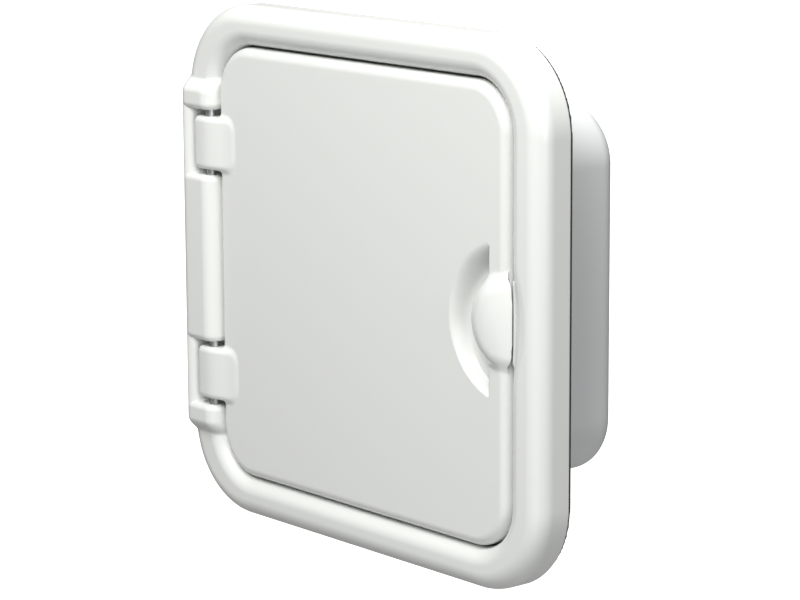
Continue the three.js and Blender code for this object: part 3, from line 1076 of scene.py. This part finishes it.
@dataclass(frozen=True)
class Lug:
    """One of the two lugs that reach from the door over the hinge bar's slots."""

    low: float = 39.9
    high: float = 63.3
    left: float = -106.6
    tip: float = 3.6
    flat_end: float = -96.3
    slope: float = 0.35
    lean: float = 0.10
    bend: float = 4.0
    right: float = -80.5
    right_round: float = 6.0
    barrel: float = 4.9
    side_round: float = 2.4
    under_across: float = 3.8
    under_back: float = 2.7
    under_length: float = 4.66
    nose_back: float = 1.0
    nose_right: float = 5.0
    arm_left: float = 3.5
    arm_step: float = -90.6
    arm_back: float = -11.5
    arm_sink: float = 0.2
    root: float = 2.0

    def field(self, x: Array, y: Array, z: Array) -> Array:
        """Both lugs, one above and one below the middle.

        Args:
            x: Places across.
            y: Places in depth.
            z: Places up.

        Returns:
            The lugs' field.
        """
        run = x - self.flat_end
        soft = np.hypot(run, self.bend)
        front = STACK.bar_front + (self.slope * (soft + run) + self.lean * (soft - run)) / 2 - y
        slant = (x - self.left) * -self.under_across + (y - STACK.bar_front - self.tip) * self.under_back
        slant = slant / self.under_length
        head = edge(np.maximum(slant, self.left - x), front, self.tip)
        nose = both(head, y - HINGE_Y - self.nose_back, x - HINGE_X - self.nose_right)
        back = np.where(x < self.arm_step, self.arm_back, STACK.skin_inside - self.arm_sink)
        arm = both(head, y - back, HINGE_X - self.arm_left - x)
        section = either(nose, hinge_reach(x, y) - self.barrel, arm)
        ends = edge(x - self.right, slab(np.abs(z), self.low, self.high), self.right_round)
        return edge(section, ends, self.side_round)


@dataclass(frozen=True)
class FingerRecess:
    """The dished recess beside the pull, cut off straight on its right."""

    chord: float = 85.2
    centre: float = 93.87
    radius: float = 32.9
    depth: float = 6.0
    flat_share: float = 0.79
    drop: float = 0.16

    def tool(self, x: Array, y: Array, z: Array) -> Array:
        """The hollow that is cut out.

        Args:
            x: Places across.
            y: Places in depth.
            z: Places up.

        Returns:
            The hollow's field.
        """
        share = np.hypot(x - self.centre, z) / self.radius
        flat = self.flat_share - self.drop * np.clip(z / self.radius, -1, 1)
        floor = STACK.door_front + self.depth * (1 - ease(flat, 1.0, share))
        return np.maximum(x - self.chord, y - floor)


@dataclass(frozen=True)
class Pull:
    """The half-moon pull, moulded with the door. Its arc hangs over the recess."""

    centre: float = 97.9
    radius: float = 23.0
    right: float = 98.5
    front: float = -22.8
    crest: float = 84.5
    fall: float = 5.5
    lip_back: float = -17.4
    back: float = -16.4
    arc_round: float = 9.5
    crown: float = 2.6
    right_round: float = 0.9
    lip_round: float = 0.5
    bend: float = 2.2
    root: float = 1.6

    def field(self, x: Array, y: Array, z: Array) -> Array:
        """The pull alone.

        Args:
            x: Places across.
            y: Places in depth.
            z: Places up.

        Returns:
            The pull's field.
        """
        arc = np.hypot(x - self.centre, z) - self.radius
        along = np.clip((x - self.crest) / (self.right - 0.4 - self.crest), 0, 1.05)
        crown = self.crown * (z / self.radius) ** 2
        front = self.front + self.fall * along**self.bend + crown - y
        dome = edge(edge(arc, front, self.arc_round), x - self.right, self.right_round)
        lip = edge(dome, y - self.lip_back, self.lip_round)
        root = both(dome, FingerRecess().chord - x, y - self.back)
        return np.minimum(lip, root)


@dataclass(frozen=True)
class DoorShell:
    """The door's outer moulding: panel, skirt, lugs, recess, pull and screw posts."""

    edge_round: float = 4.3
    skirt: float = 2.5
    backing_left: float = 59.2
    backing_half: float = 33.8
    hollow_round: float = 1.8
    back_round: float = 0.3
    pin_room: float = 2.3
    pin_reach: float = 70.0
    post: float = 3.0
    post_line: float = 87.6
    post_spread: float = 72.0
    pilot: float = 1.4
    pilot_front: float = -14.9
    catch_room: float = 2.6
    catch_left: float = 87.0
    lug: Lug = Lug()
    recess: FingerRecess = FingerRecess()
    pull: Pull = Pull()

    def posts(self, x: Array, z: Array) -> Array:
        """Distance from the nearest screw post's line."""
        across = np.minimum(np.abs(x), np.abs(np.abs(x) - self.post_spread))
        return np.hypot(across, np.abs(z) - self.post_line)

    def field(self, x: Array, y: Array, z: Array) -> Array:
        """The whole moulding.

        Args:
            x: Places across.
            y: Places in depth.
            z: Places up.

        Returns:
            The moulding's field.
        """
        outline = plan(x, z, DOOR_OUTLINE)
        shell = edge(outline, STACK.door_front - y, self.edge_round)
        hollow = edge(outline + self.skirt, STACK.skin_inside - y, self.hollow_round)
        backing = np.maximum(self.backing_left - x, np.abs(z) - self.backing_half)
        post = self.posts(x, z)
        hollow = cut(hollow, backing)
        hollow = cut(hollow, np.maximum(post - self.post, y - STACK.liner_front + GAP))
        shell = cut(shell, hollow)
        shell = cut(shell, self.recess.tool(x, y, z))
        shell = fillet(shell, self.lug.field(x, y, z), self.lug.root)
        shell = cut(shell, np.maximum(hinge_reach(x, y) - self.pin_room, np.abs(z) - self.pin_reach))
        shell = fillet(shell, self.pull.field(x, y, z), self.pull.root)
        shell = cut(shell, np.maximum(post - self.pilot, self.pilot_front - y))
        bore = np.maximum(np.hypot(y - CATCH_Y, z) - self.catch_room, self.catch_left - x)
        return edge(cut(shell, bore), y - STACK.door_back, self.back_round)

    def build(self) -> None:
        """Makes the moulding."""
        across = rule(-108.8, (-76, 0.65), (-66, 1.6), (54, 2.9), (64, 1.2), (76, 0.8), (98.6, 0.5))
        up = mirrored((36, 0.66), (66, 0.72), (84, 1.5), (96, 0.7))
        depth = rule(-23.4, (-14.4, 0.45), (-8.7, 0.7))
        skin = Skin(self.field, across, depth, up, keep=0.6)
        place(skin.mesh("door_moulding"), Body.DOOR, Finish.WHITE_GLOSS, "door_shell")


@dataclass(frozen=True)
class DoorLiner:
    """The flat liner that closes the door's back."""

    inset: float = 2.85
    notch_left: float = 58.6
    notch_half: float = 34.4
    head_room: float = 2.6
    head_seat: float = -10.5
    notch_round: float = 1.5
    sheet_round: float = 0.45
    seat_round: float = 0.15

    def field(self, x: Array, y: Array, z: Array) -> Array:
        """The liner, with its notch and its screw seats.

        Args:
            x: Places across.
            y: Places in depth.
            z: Places up.

        Returns:
            The liner's field.
        """
        post = DoorShell().posts(x, z)
        sheet = plan(x, z, DOOR_OUTLINE) + self.inset
        notch = np.maximum(self.notch_left - x, np.abs(z) - self.notch_half)
        sheet = cut(sheet, notch, self.notch_round)
        solid = edge(sheet, slab(y, STACK.liner_front, STACK.door_back), self.sheet_round)
        seat = np.maximum(post - self.head_room, self.head_seat - y)
        return cut(solid, np.minimum(seat, post - DoorShell().pilot), self.seat_round)

    def build(self) -> None:
        """Makes the liner."""
        across = mirrored((54, 2.8), (64, 0.9), (93.8, 0.9))
        up = mirrored((30, 2.8), (40, 0.9), (70, 2.0), (93.8, 0.75))
        skin = Skin(self.field, across, rule(-11.8, (-8.7, 0.3)), up, keep=0.5)
        place(skin.mesh("liner_panel"), Body.DOOR, Finish.BOX_WHITE, "door_liner")


# ------------------------------------------------------------------ hinge pins and catch


def turned(side: Array, low: float, high: float, at: Array, rounding: float) -> Array:
    """A turned rod, cut off square at both ends.

    Args:
        side: Distance outside its side.
        low: Where it starts along the axis.
        high: Where it ends.
        at: Places along the axis.
        rounding: The radius of its end edges.

    Returns:
        The rod's field.
    """
    return edge(side, slab(at, low, high), rounding)


@dataclass(frozen=True)
class HingePins:
    """The two steel pins that the lugs turn on."""

    radius: float = 2.0
    low: float = 31.0
    high: float = 74.0
    end_round: float = 0.4
    groove_at: float = 33.5
    groove_half: float = 0.5
    groove_depth: float = 0.18

    def field(self, x: Array, y: Array, z: Array) -> Array:
        """The upper pin, with a groove near its inner end.

        Args:
            x: Places across.
            y: Places in depth.
            z: Places up.

        Returns:
            The pin's field.
        """
        groove = self.groove_depth * np.exp(-(((z - self.groove_at) / self.groove_half) ** 2))
        side = hinge_reach(x, y) - self.radius + groove
        return turned(side, self.low, self.high, z, self.end_round)

    def build(self) -> None:
        """Makes both pins."""
        across = rule(HINGE_X - 2.6, (HINGE_X + 2.6, 0.3))
        depth = rule(HINGE_Y - 2.6, (HINGE_Y + 2.6, 0.3))
        up = rule(self.low - 0.6, (self.low + 4, 0.25), (self.high - 1, 1.2), (self.high + 0.6, 0.25))
        flipped = Skin(lambda x, y, z: self.field(x, y, -z), across, depth, -up[::-1])
        upper = Skin(self.field, across, depth, up).mesh("upper_pin")
        place(upper, Body.CASE, Finish.STAINLESS, "hinge_pin_upper")
        place(flipped.mesh("lower_pin"), Body.CASE, Finish.STAINLESS, "hinge_pin_lower")


@dataclass(frozen=True)
class BulletCatch:
    """The sprung catch in the door's edge, and the plate that it clicks into."""

    barrel_left: float = 87.3
    barrel_right: float = 95.3
    barrel_outer: float = 2.3
    barrel_inner: float = 1.8
    lip: float = 0.6
    body: float = 1.5
    nose: float = 1.1
    nose_room: float = 0.2
    bolt_left: float = 90.4
    shoulder: float = 94.4
    tip: float = 96.1
    spring_left: float = 88.05
    spring_radius: float = 1.15
    wire: float = 0.12
    turns: int = 3
    pressed: float = 0.36
    plate_left: float = 96.5
    plate_right: float = 97.3
    plate_front: float = -13.1
    plate_back: float = -7.3
    plate_half: float = 10.0
    plate_round: float = 1.2
    plate_edge: float = 0.15
    bolt_hole: float = 1.5
    bolt_hole_back: float = 0.6
    screw_y: float = -10.2
    screw_z: float = 6.6
    screw_hole: float = 1.1
    end_round: float = 0.25
    bore_round: float = 0.1
    body_round: float = 0.15
    hole_round: float = 0.12

    def barrel(self, x: Array, y: Array, z: Array) -> Array:
        """The barrel, closed on the left.

        Args:
            x: Places across.
            y: Places in depth.
            z: Places up.

        Returns:
            The barrel's field.
        """
        offset = np.hypot(y - CATCH_Y, z)
        left, right = self.barrel_left, self.barrel_right
        outside = turned(offset - self.barrel_outer, left, right, x, self.end_round)
        bore = turned(offset - self.barrel_inner, left + self.lip, right - self.lip, x, self.bore_round)
        mouth = np.maximum(offset - self.nose - self.nose_room, right - 2 * self.lip - x)
        return cut(outside, np.minimum(bore, mouth))

    def bolt(self, x: Array, y: Array, z: Array) -> Array:
        """The bolt, with a shoulder and a round nose.

        Args:
            x: Places across.
            y: Places in depth.
            z: Places up.

        Returns:
            The bolt's field.
        """
        offset = np.hypot(y - CATCH_Y, z)
        body = turned(offset - self.body, self.bolt_left, self.shoulder, x, self.body_round)
        nose = turned(offset - self.nose, self.shoulder - 1, self.tip, x, self.nose - 0.05)
        return np.minimum(body, nose)

    def plate(self, x: Array, y: Array, z: Array) -> Array:
        """The plate in the frame's side, with the bolt's hole and two screw holes.

        Args:
            x: Places across.
            y: Places in depth.
            z: Places up.

        Returns:
            The plate's field.
        """
        middle = (self.plate_front + self.plate_back) / 2
        depth = np.abs(y - middle) + middle - self.plate_back
        face = edge(depth, np.abs(z) - self.plate_half, self.plate_round)
        middle = (self.plate_left + self.plate_right) / 2
        sheet = edge(face, np.abs(x - middle) + middle - self.plate_right, self.plate_edge)
        hole = np.hypot(y - CATCH_Y - self.bolt_hole_back, z) - self.bolt_hole
        screws = np.hypot(y - self.screw_y, np.abs(z) - self.screw_z) - self.screw_hole
        return cut(sheet, np.minimum(hole, screws), self.hole_round)

    def spring(self) -> bpy.types.Mesh:
        """The coil spring, from the barrel's end to the bolt.

        Returns:
            The new mesh.
        """
        around, steps = 8, 24 * self.turns
        length = self.bolt_left - self.spring_left - 2 * self.wire - 0.05
        turn = np.linspace(0, 2 * math.pi * self.turns, steps)[:, None]
        ring = np.linspace(0, 2 * math.pi, around, endpoint=False)[None, :]
        radius = self.spring_radius + self.wire * np.cos(ring)
        x = self.spring_left + self.wire + length * turn / turn[-1] + self.wire * np.sin(ring)
        points = np.stack([x, CATCH_Y + radius * np.cos(turn), radius * np.sin(turn)], axis=-1)
        faces: list[list[int]] = []
        for i in range(steps - 1):
            for j in range(around):
                a, b = i * around + j, i * around + (j + 1) % around
                faces.append([a, a + around, b + around, b])
        faces.append(list(range(around)))
        faces.append([(steps - 1) * around + j for j in reversed(range(around))])
        mesh = bpy.data.meshes.new("coil_spring")
        mesh.from_pydata((points.reshape(-1, 3) * METRES).tolist(), [], faces)
        mesh.shade_smooth()
        return mesh

    def build(self) -> None:
        """Makes the catch's four parts."""
        near = rule(-2.7, (2.7, 0.18))
        depth = near + CATCH_Y
        along = rule(self.barrel_left - 0.5, (self.barrel_left + 1, 0.18), (94, 0.4), (96.5, 0.15))
        barrel = Skin(self.barrel, along, depth, near).mesh("catch_sleeve")
        place(barrel, Body.DOOR, Finish.CATCH_BRASS, "catch_barrel")
        bolt = Skin(self.bolt, rule(90, (96.5, 0.15)), depth, near).mesh("sprung_bolt")
        place(bolt, Body.CATCH, Finish.STAINLESS, "catch_bolt")
        across, deep = rule(96.1, (97.7, 0.13)), rule(-13.6, (-6.8, 0.25))
        plate = Skin(self.plate, across, deep, mirrored((10.5, 0.25))).mesh("keeper_plate")
        place(plate, Body.CASE, Finish.STAINLESS, "catch_keeper")
        spring = place(self.spring(), Body.DOOR, Finish.SPRING_STEEL, "catch_spring")
        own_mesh(spring)


# ------------------------------------------------------------------ screws


@dataclass(frozen=True)
class Screw:
    """A self-tapping screw with a cross recess. Its head points along +Y from its seat."""

    shank: float
    head: float
    head_height: float
    length: float
    pitch: float = 1.0
    thread_depth: float = 0.28
    point: float = 1.6
    tip: float = 0.12
    crown: float = 0.16
    head_round: float = 0.28
    slot_half: float = 0.14
    slot_reach: float = 0.62
    slot_floor: float = 0.35
    slot_slope: float = 0.5

    def field(self, x: Array, y: Array, z: Array) -> Array:
        """The whole screw.

        Args:
            x: Places to the side.
            y: Places along the axis, with the seat at 0.
            z: Places to the other side.

        Returns:
            The screw's field.
        """
        offset = np.hypot(x, z)
        thread = 0.5 + 0.5 * np.cos(2 * math.pi * y / self.pitch + np.arctan2(z, x))
        taper = np.clip((y + self.length) / (self.point * self.shank), self.tip, 1)
        side = offset - (self.shank - self.thread_depth * (1 - thread)) * taper
        shank = turned(side, -self.length, 0.2, y, 0.1)
        top = self.head_height * (1 - self.crown * (offset / self.head) ** 2)
        head = edge(np.maximum(offset - self.head, -y), y - top, self.head_round * self.head_height)
        narrow, wide = self.slot_half * self.head, self.slot_reach * self.head
        arms = np.minimum(
            np.maximum(np.abs(x) - narrow, np.abs(z) - wide),
            np.maximum(np.abs(z) - narrow, np.abs(x) - wide),
        )
        floor = self.head_height * self.slot_floor + self.slot_slope * offset
        return cut(np.minimum(shank, head), np.maximum(arms, floor - y))

    def mesh(self, name: str) -> bpy.types.Mesh:
        """The screw as a mesh, with its seat at the origin.

        Args:
            name: The mesh's name.

        Returns:
            The new mesh.
        """
        reach = self.head + 0.25
        fine = self.head / 16
        side = mirrored((reach, fine))
        along = rule(-self.length - 0.3, (-0.3, 0.2), (self.head_height + 0.3, fine))
        return Skin(self.field, side, along, side).mesh(name)


@dataclass(frozen=True)
class ScrewRow:
    """A set of equal screws, laid out by Geometry Nodes on their seats."""

    name: str
    screw: Screw
    seats: tuple[tuple[float, float, float], ...]
    body: Body
    nodes: tuple[str, ...]
    seed: int
    to_the_right: bool = False

    def _tree(self) -> bpy.types.NodeTree:
        """The tree that puts a screw on each seat, each turned a little differently.

        Returns:
            The node tree.
        """
        tree = bpy.data.node_groups.new(self.name + "_layout", "GeometryNodeTree")
        sockets = {
            "Seats": "NodeSocketGeometry",
            "Screw": "NodeSocketObject",
            "Axis": "NodeSocketVector",
            "Seed": "NodeSocketInt",
            "Finish": "NodeSocketMaterial",
        }
        for name, kind in sockets.items():
            tree.interface.new_socket(name, in_out="INPUT", socket_type=kind)
        tree.interface.new_socket("Geometry", in_out="OUTPUT", socket_type="NodeSocketGeometry")
        given = tree.nodes.new("NodeGroupInput")
        result = tree.nodes.new("NodeGroupOutput")
        pattern = tree.nodes.new("GeometryNodeObjectInfo")
        turn = tree.nodes.new("FunctionNodeRandomValue")
        turn.data_type = "FLOAT"
        axis = tree.nodes.new("ShaderNodeVectorMath")
        axis.operation = "SCALE"
        spread = tree.nodes.new("GeometryNodeInstanceOnPoints")
        realize = tree.nodes.new("GeometryNodeRealizeInstances")
        dress = tree.nodes.new("GeometryNodeSetMaterial")
        float_max = [s for s in turn.inputs if s.name == "Max" and s.type == "VALUE"][0]
        float_max.default_value = 2 * math.pi
        float_out = [s for s in turn.outputs if s.type == "VALUE"][0]
        links = (
            (given.outputs["Screw"], pattern.inputs["Object"]),
            (given.outputs["Seed"], turn.inputs["Seed"]),
            (given.outputs["Axis"], axis.inputs[0]),
            (float_out, axis.inputs["Scale"]),
            (given.outputs["Seats"], spread.inputs["Points"]),
            (pattern.outputs["Geometry"], spread.inputs["Instance"]),
            (axis.outputs[0], spread.inputs["Rotation"]),
            (spread.outputs[0], realize.inputs[0]),
            (realize.outputs[0], dress.inputs["Geometry"]),
            (given.outputs["Finish"], dress.inputs["Material"]),
            (dress.outputs[0], result.inputs[0]),
        )
        for source, target in links:
            tree.links.new(source, target)
        return tree

    def build(self) -> None:
        """Makes the set as one mesh."""
        pattern = bpy.data.objects.new(self.name + "_pattern", self.screw.mesh(self.name + "_one"))
        if self.to_the_right:
            pattern.data.transform(Matrix.Rotation(math.pi / 2, 4, "Z"))
        bpy.context.scene.collection.objects.link(pattern)
        seats = new_mesh(self.name + "_seats", np.array(self.seats) * METRES, [])
        holder = bpy.data.objects.new(self.name + "_holder", seats)
        bpy.context.scene.collection.objects.link(holder)
        modifier = holder.modifiers.new("layout", "NODES")
        tree = self._tree()
        modifier.node_group = tree
        values = {
            "Screw": pattern,
            "Axis": (1.0, 0.0, 0.0) if self.to_the_right else (0.0, 1.0, 0.0),
            "Seed": self.seed,
            "Finish": Finish.STAINLESS.material(),
        }
        for item in tree.interface.items_tree:
            if item.name in values and item.in_out == "INPUT":
                modifier[item.identifier] = values[item.name]
        graph = bpy.context.evaluated_depsgraph_get()
        mesh = bpy.data.meshes.new_from_object(holder.evaluated_get(graph))
        mesh.name = self.name
        for helper in (holder, pattern):
            bpy.data.objects.remove(helper)
        place(mesh, self.body, Finish.STAINLESS, *self.nodes)


@dataclass(frozen=True)
class Fasteners:
    """All the screws of the hatch."""

    corners: tuple[tuple[int, int], ...] = ((1, 1), (-1, 1), (-1, -1), (1, -1))
    liner_head: float = 1.0

    def build(self) -> None:
        """Makes the three sets of screws."""
        at = BOX_SCREWS.place
        box = tuple((sx * at, STACK.gasket_front, sz * at) for sx, sz in self.corners)
        names = tuple(f"box_screw_{i + 1}" for i in range(4))
        ScrewRow("rim_screws", Screw(1.2, 2.8, 1.2, 5.4), box, Body.CASE, names, 4).build()
        shell = DoorShell()
        liner = tuple(
            (x * shell.post_spread, STACK.door_back - self.liner_head, side * shell.post_line)
            for side in (1, -1)
            for x in (-1, 0, 1)
        )
        names = tuple(f"liner_screw_{i + 1}" for i in range(6))
        ScrewRow("panel_screws", Screw(1.1, 2.3, self.liner_head, 4.6), liner, Body.DOOR, names, 7).build()
        catch = BulletCatch()
        keeper = tuple((catch.plate_left, catch.screw_y, side * catch.screw_z) for side in (1, -1))
        names = ("keeper_screw_1", "keeper_screw_2")
        screw = Screw(0.8, 1.5, 0.4, 2.2, 0.6)
        ScrewRow("plate_screws", screw, keeper, Body.CASE, names, 2, to_the_right=True).build()


# ------------------------------------------------------------------ studio


@dataclass(frozen=True)
class Softbox:
    """A soft area light that looks at the hatch."""

    name: str
    azimuth: float
    elevation: float
    distance: float
    size: float
    power: float
    colour: Colour = (1.0, 1.0, 1.0)

    def build(self) -> None:
        """Puts the light up."""
        data = bpy.data.lights.new(self.name, "AREA")
        data.shape = "SQUARE"
        data.size = self.size
        data.energy = self.power
        data.color = self.colour
        light = bpy.data.objects.new(self.name, data)
        light.location = Studio.direction(self.azimuth, self.elevation) * self.distance
        light.rotation_mode = "QUATERNION"
        light.rotation_quaternion = (-light.location).to_track_quat("-Z", "Y")
        bpy.context.scene.collection.objects.link(light)


@dataclass(frozen=True)
class Studio:
    """Camera, floor, lit screen and lights."""

    azimuth: float = 49.93
    elevation: float = 11.13
    roll: float = 0.28
    distance: float = 1.298
    lens: float = 139.2
    aim: tuple[float, float, float] = (0.01142, -0.00142, -0.00490)
    floor: float = -0.95
    floor_reach: float = 14.0
    floor_tone: Colour = (0.55, 0.55, 0.55)
    screen_distance: float = 2.6
    screen_half: float = 0.8
    screen_top: float = 0.06
    screen_glow: float = 1.1
    world: float = 0.14
    lights: tuple[Softbox, ...] = (
        Softbox("key", 24, 50, 1.2, 0.7, 17.0, (1.0, 0.998, 0.985)),
        Softbox("side", 74, 8, 1.6, 0.7, 5.8, (0.985, 0.99, 1.0)),
        Softbox("top", 100, 78, 1.4, 0.7, 8.0, (1.0, 1.0, 1.0)),
        Softbox("low", 30, -28, 1.6, 0.9, 2.2, (0.96, 0.98, 1.0)),
        Softbox("back", 215, 38, 1.5, 0.9, 5.0, (1.0, 1.0, 1.0)),
    )

    @staticmethod
    def direction(azimuth: float, elevation: float) -> Vector:
        """The unit vector from the hatch towards an azimuth and elevation, in degrees."""
        a, e = math.radians(azimuth), math.radians(elevation)
        return Vector((math.sin(a) * math.cos(e), -math.cos(a) * math.cos(e), math.sin(e)))

    def camera(self) -> None:
        """Puts up the camera."""
        back = self.direction(self.azimuth, self.elevation)
        right = (-back).cross(Vector((0, 0, 1))).normalized()
        down = (-back).cross(right)
        turn = math.radians(self.roll)
        across = math.cos(turn) * right + math.sin(turn) * down
        up = math.sin(turn) * right - math.cos(turn) * down
        data = bpy.data.cameras.new("camera")
        data.lens = self.lens
        data.sensor_width = 36
        data.clip_start, data.clip_end = 0.05, 50
        camera = bpy.data.objects.new("camera", data)
        bpy.context.scene.collection.objects.link(camera)
        spot = Vector(self.aim) + back * self.distance
        camera.matrix_world = Matrix.Translation(spot) @ Matrix((across, up, back)).transposed().to_4x4()
        bpy.context.scene.camera = camera

    def build(self) -> None:
        """Lays the floor, puts up the screen and hangs the lights."""
        for light in self.lights:
            light.build()
        world = bpy.data.worlds.new("room")
        world.use_nodes = True
        background = world.node_tree.nodes["Background"]
        background.inputs["Color"].default_value = (1, 1, 1, 1)
        background.inputs["Strength"].default_value = self.world
        bpy.context.scene.world = world
        reach, floor = self.floor_reach, self.floor
        signs = ((-1, -1), (1, -1), (1, 1), (-1, 1))
        corners = [Vector((sx * reach, sy * reach, floor)) for sx, sy in signs]
        self._sheet("floor", corners, StagePaint("floor_paint", self.floor_tone))
        away = -self.direction(self.azimuth, 0) * self.screen_distance
        side = Vector((-away.y, away.x, 0)).normalized() * self.screen_half
        low, high = Vector((0, 0, floor)), Vector((0, 0, self.screen_top))
        corners = [away - side + low, away + side + low, away + side + high, away - side + high]
        self._sheet("screen", corners, StagePaint("screen_white", (0.9, 0.9, 0.9), self.screen_glow))
        bpy.context.scene.view_settings.view_transform = "Standard"

    @staticmethod
    def _sheet(name: str, corners: Sequence[Vector], paint: StagePaint) -> None:
        """Adds a flat sheet that isn't part of the hatch.

        Args:
            name: The sheet's name.
            corners: Its four corners, in metres.
            paint: Its paint.
        """
        mesh = bpy.data.meshes.new(name)
        mesh.from_pydata([tuple(corner) for corner in corners], [], [(0, 1, 2, 3)])
        mesh.materials.append(paint.material())
        sheet = bpy.data.objects.new(name, mesh)
        bpy.context.scene.collection.objects.link(sheet)


def main() -> None:
    """Builds the hatch in order."""
    logging.basicConfig(level=logging.INFO, format="%(name)s: %(message)s")
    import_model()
    studio = Studio()
    studio.camera()
    case = (FlangedFrame(), StorageBox(), Seals())
    door = (DoorShell(), DoorLiner())
    for part in (*case, *door, HingePins(), BulletCatch(), Fasteners()):
        LOG.info("building %s", type(part).__name__)
        part.build()
    studio.build()


if __name__ == "__main__":
    main()
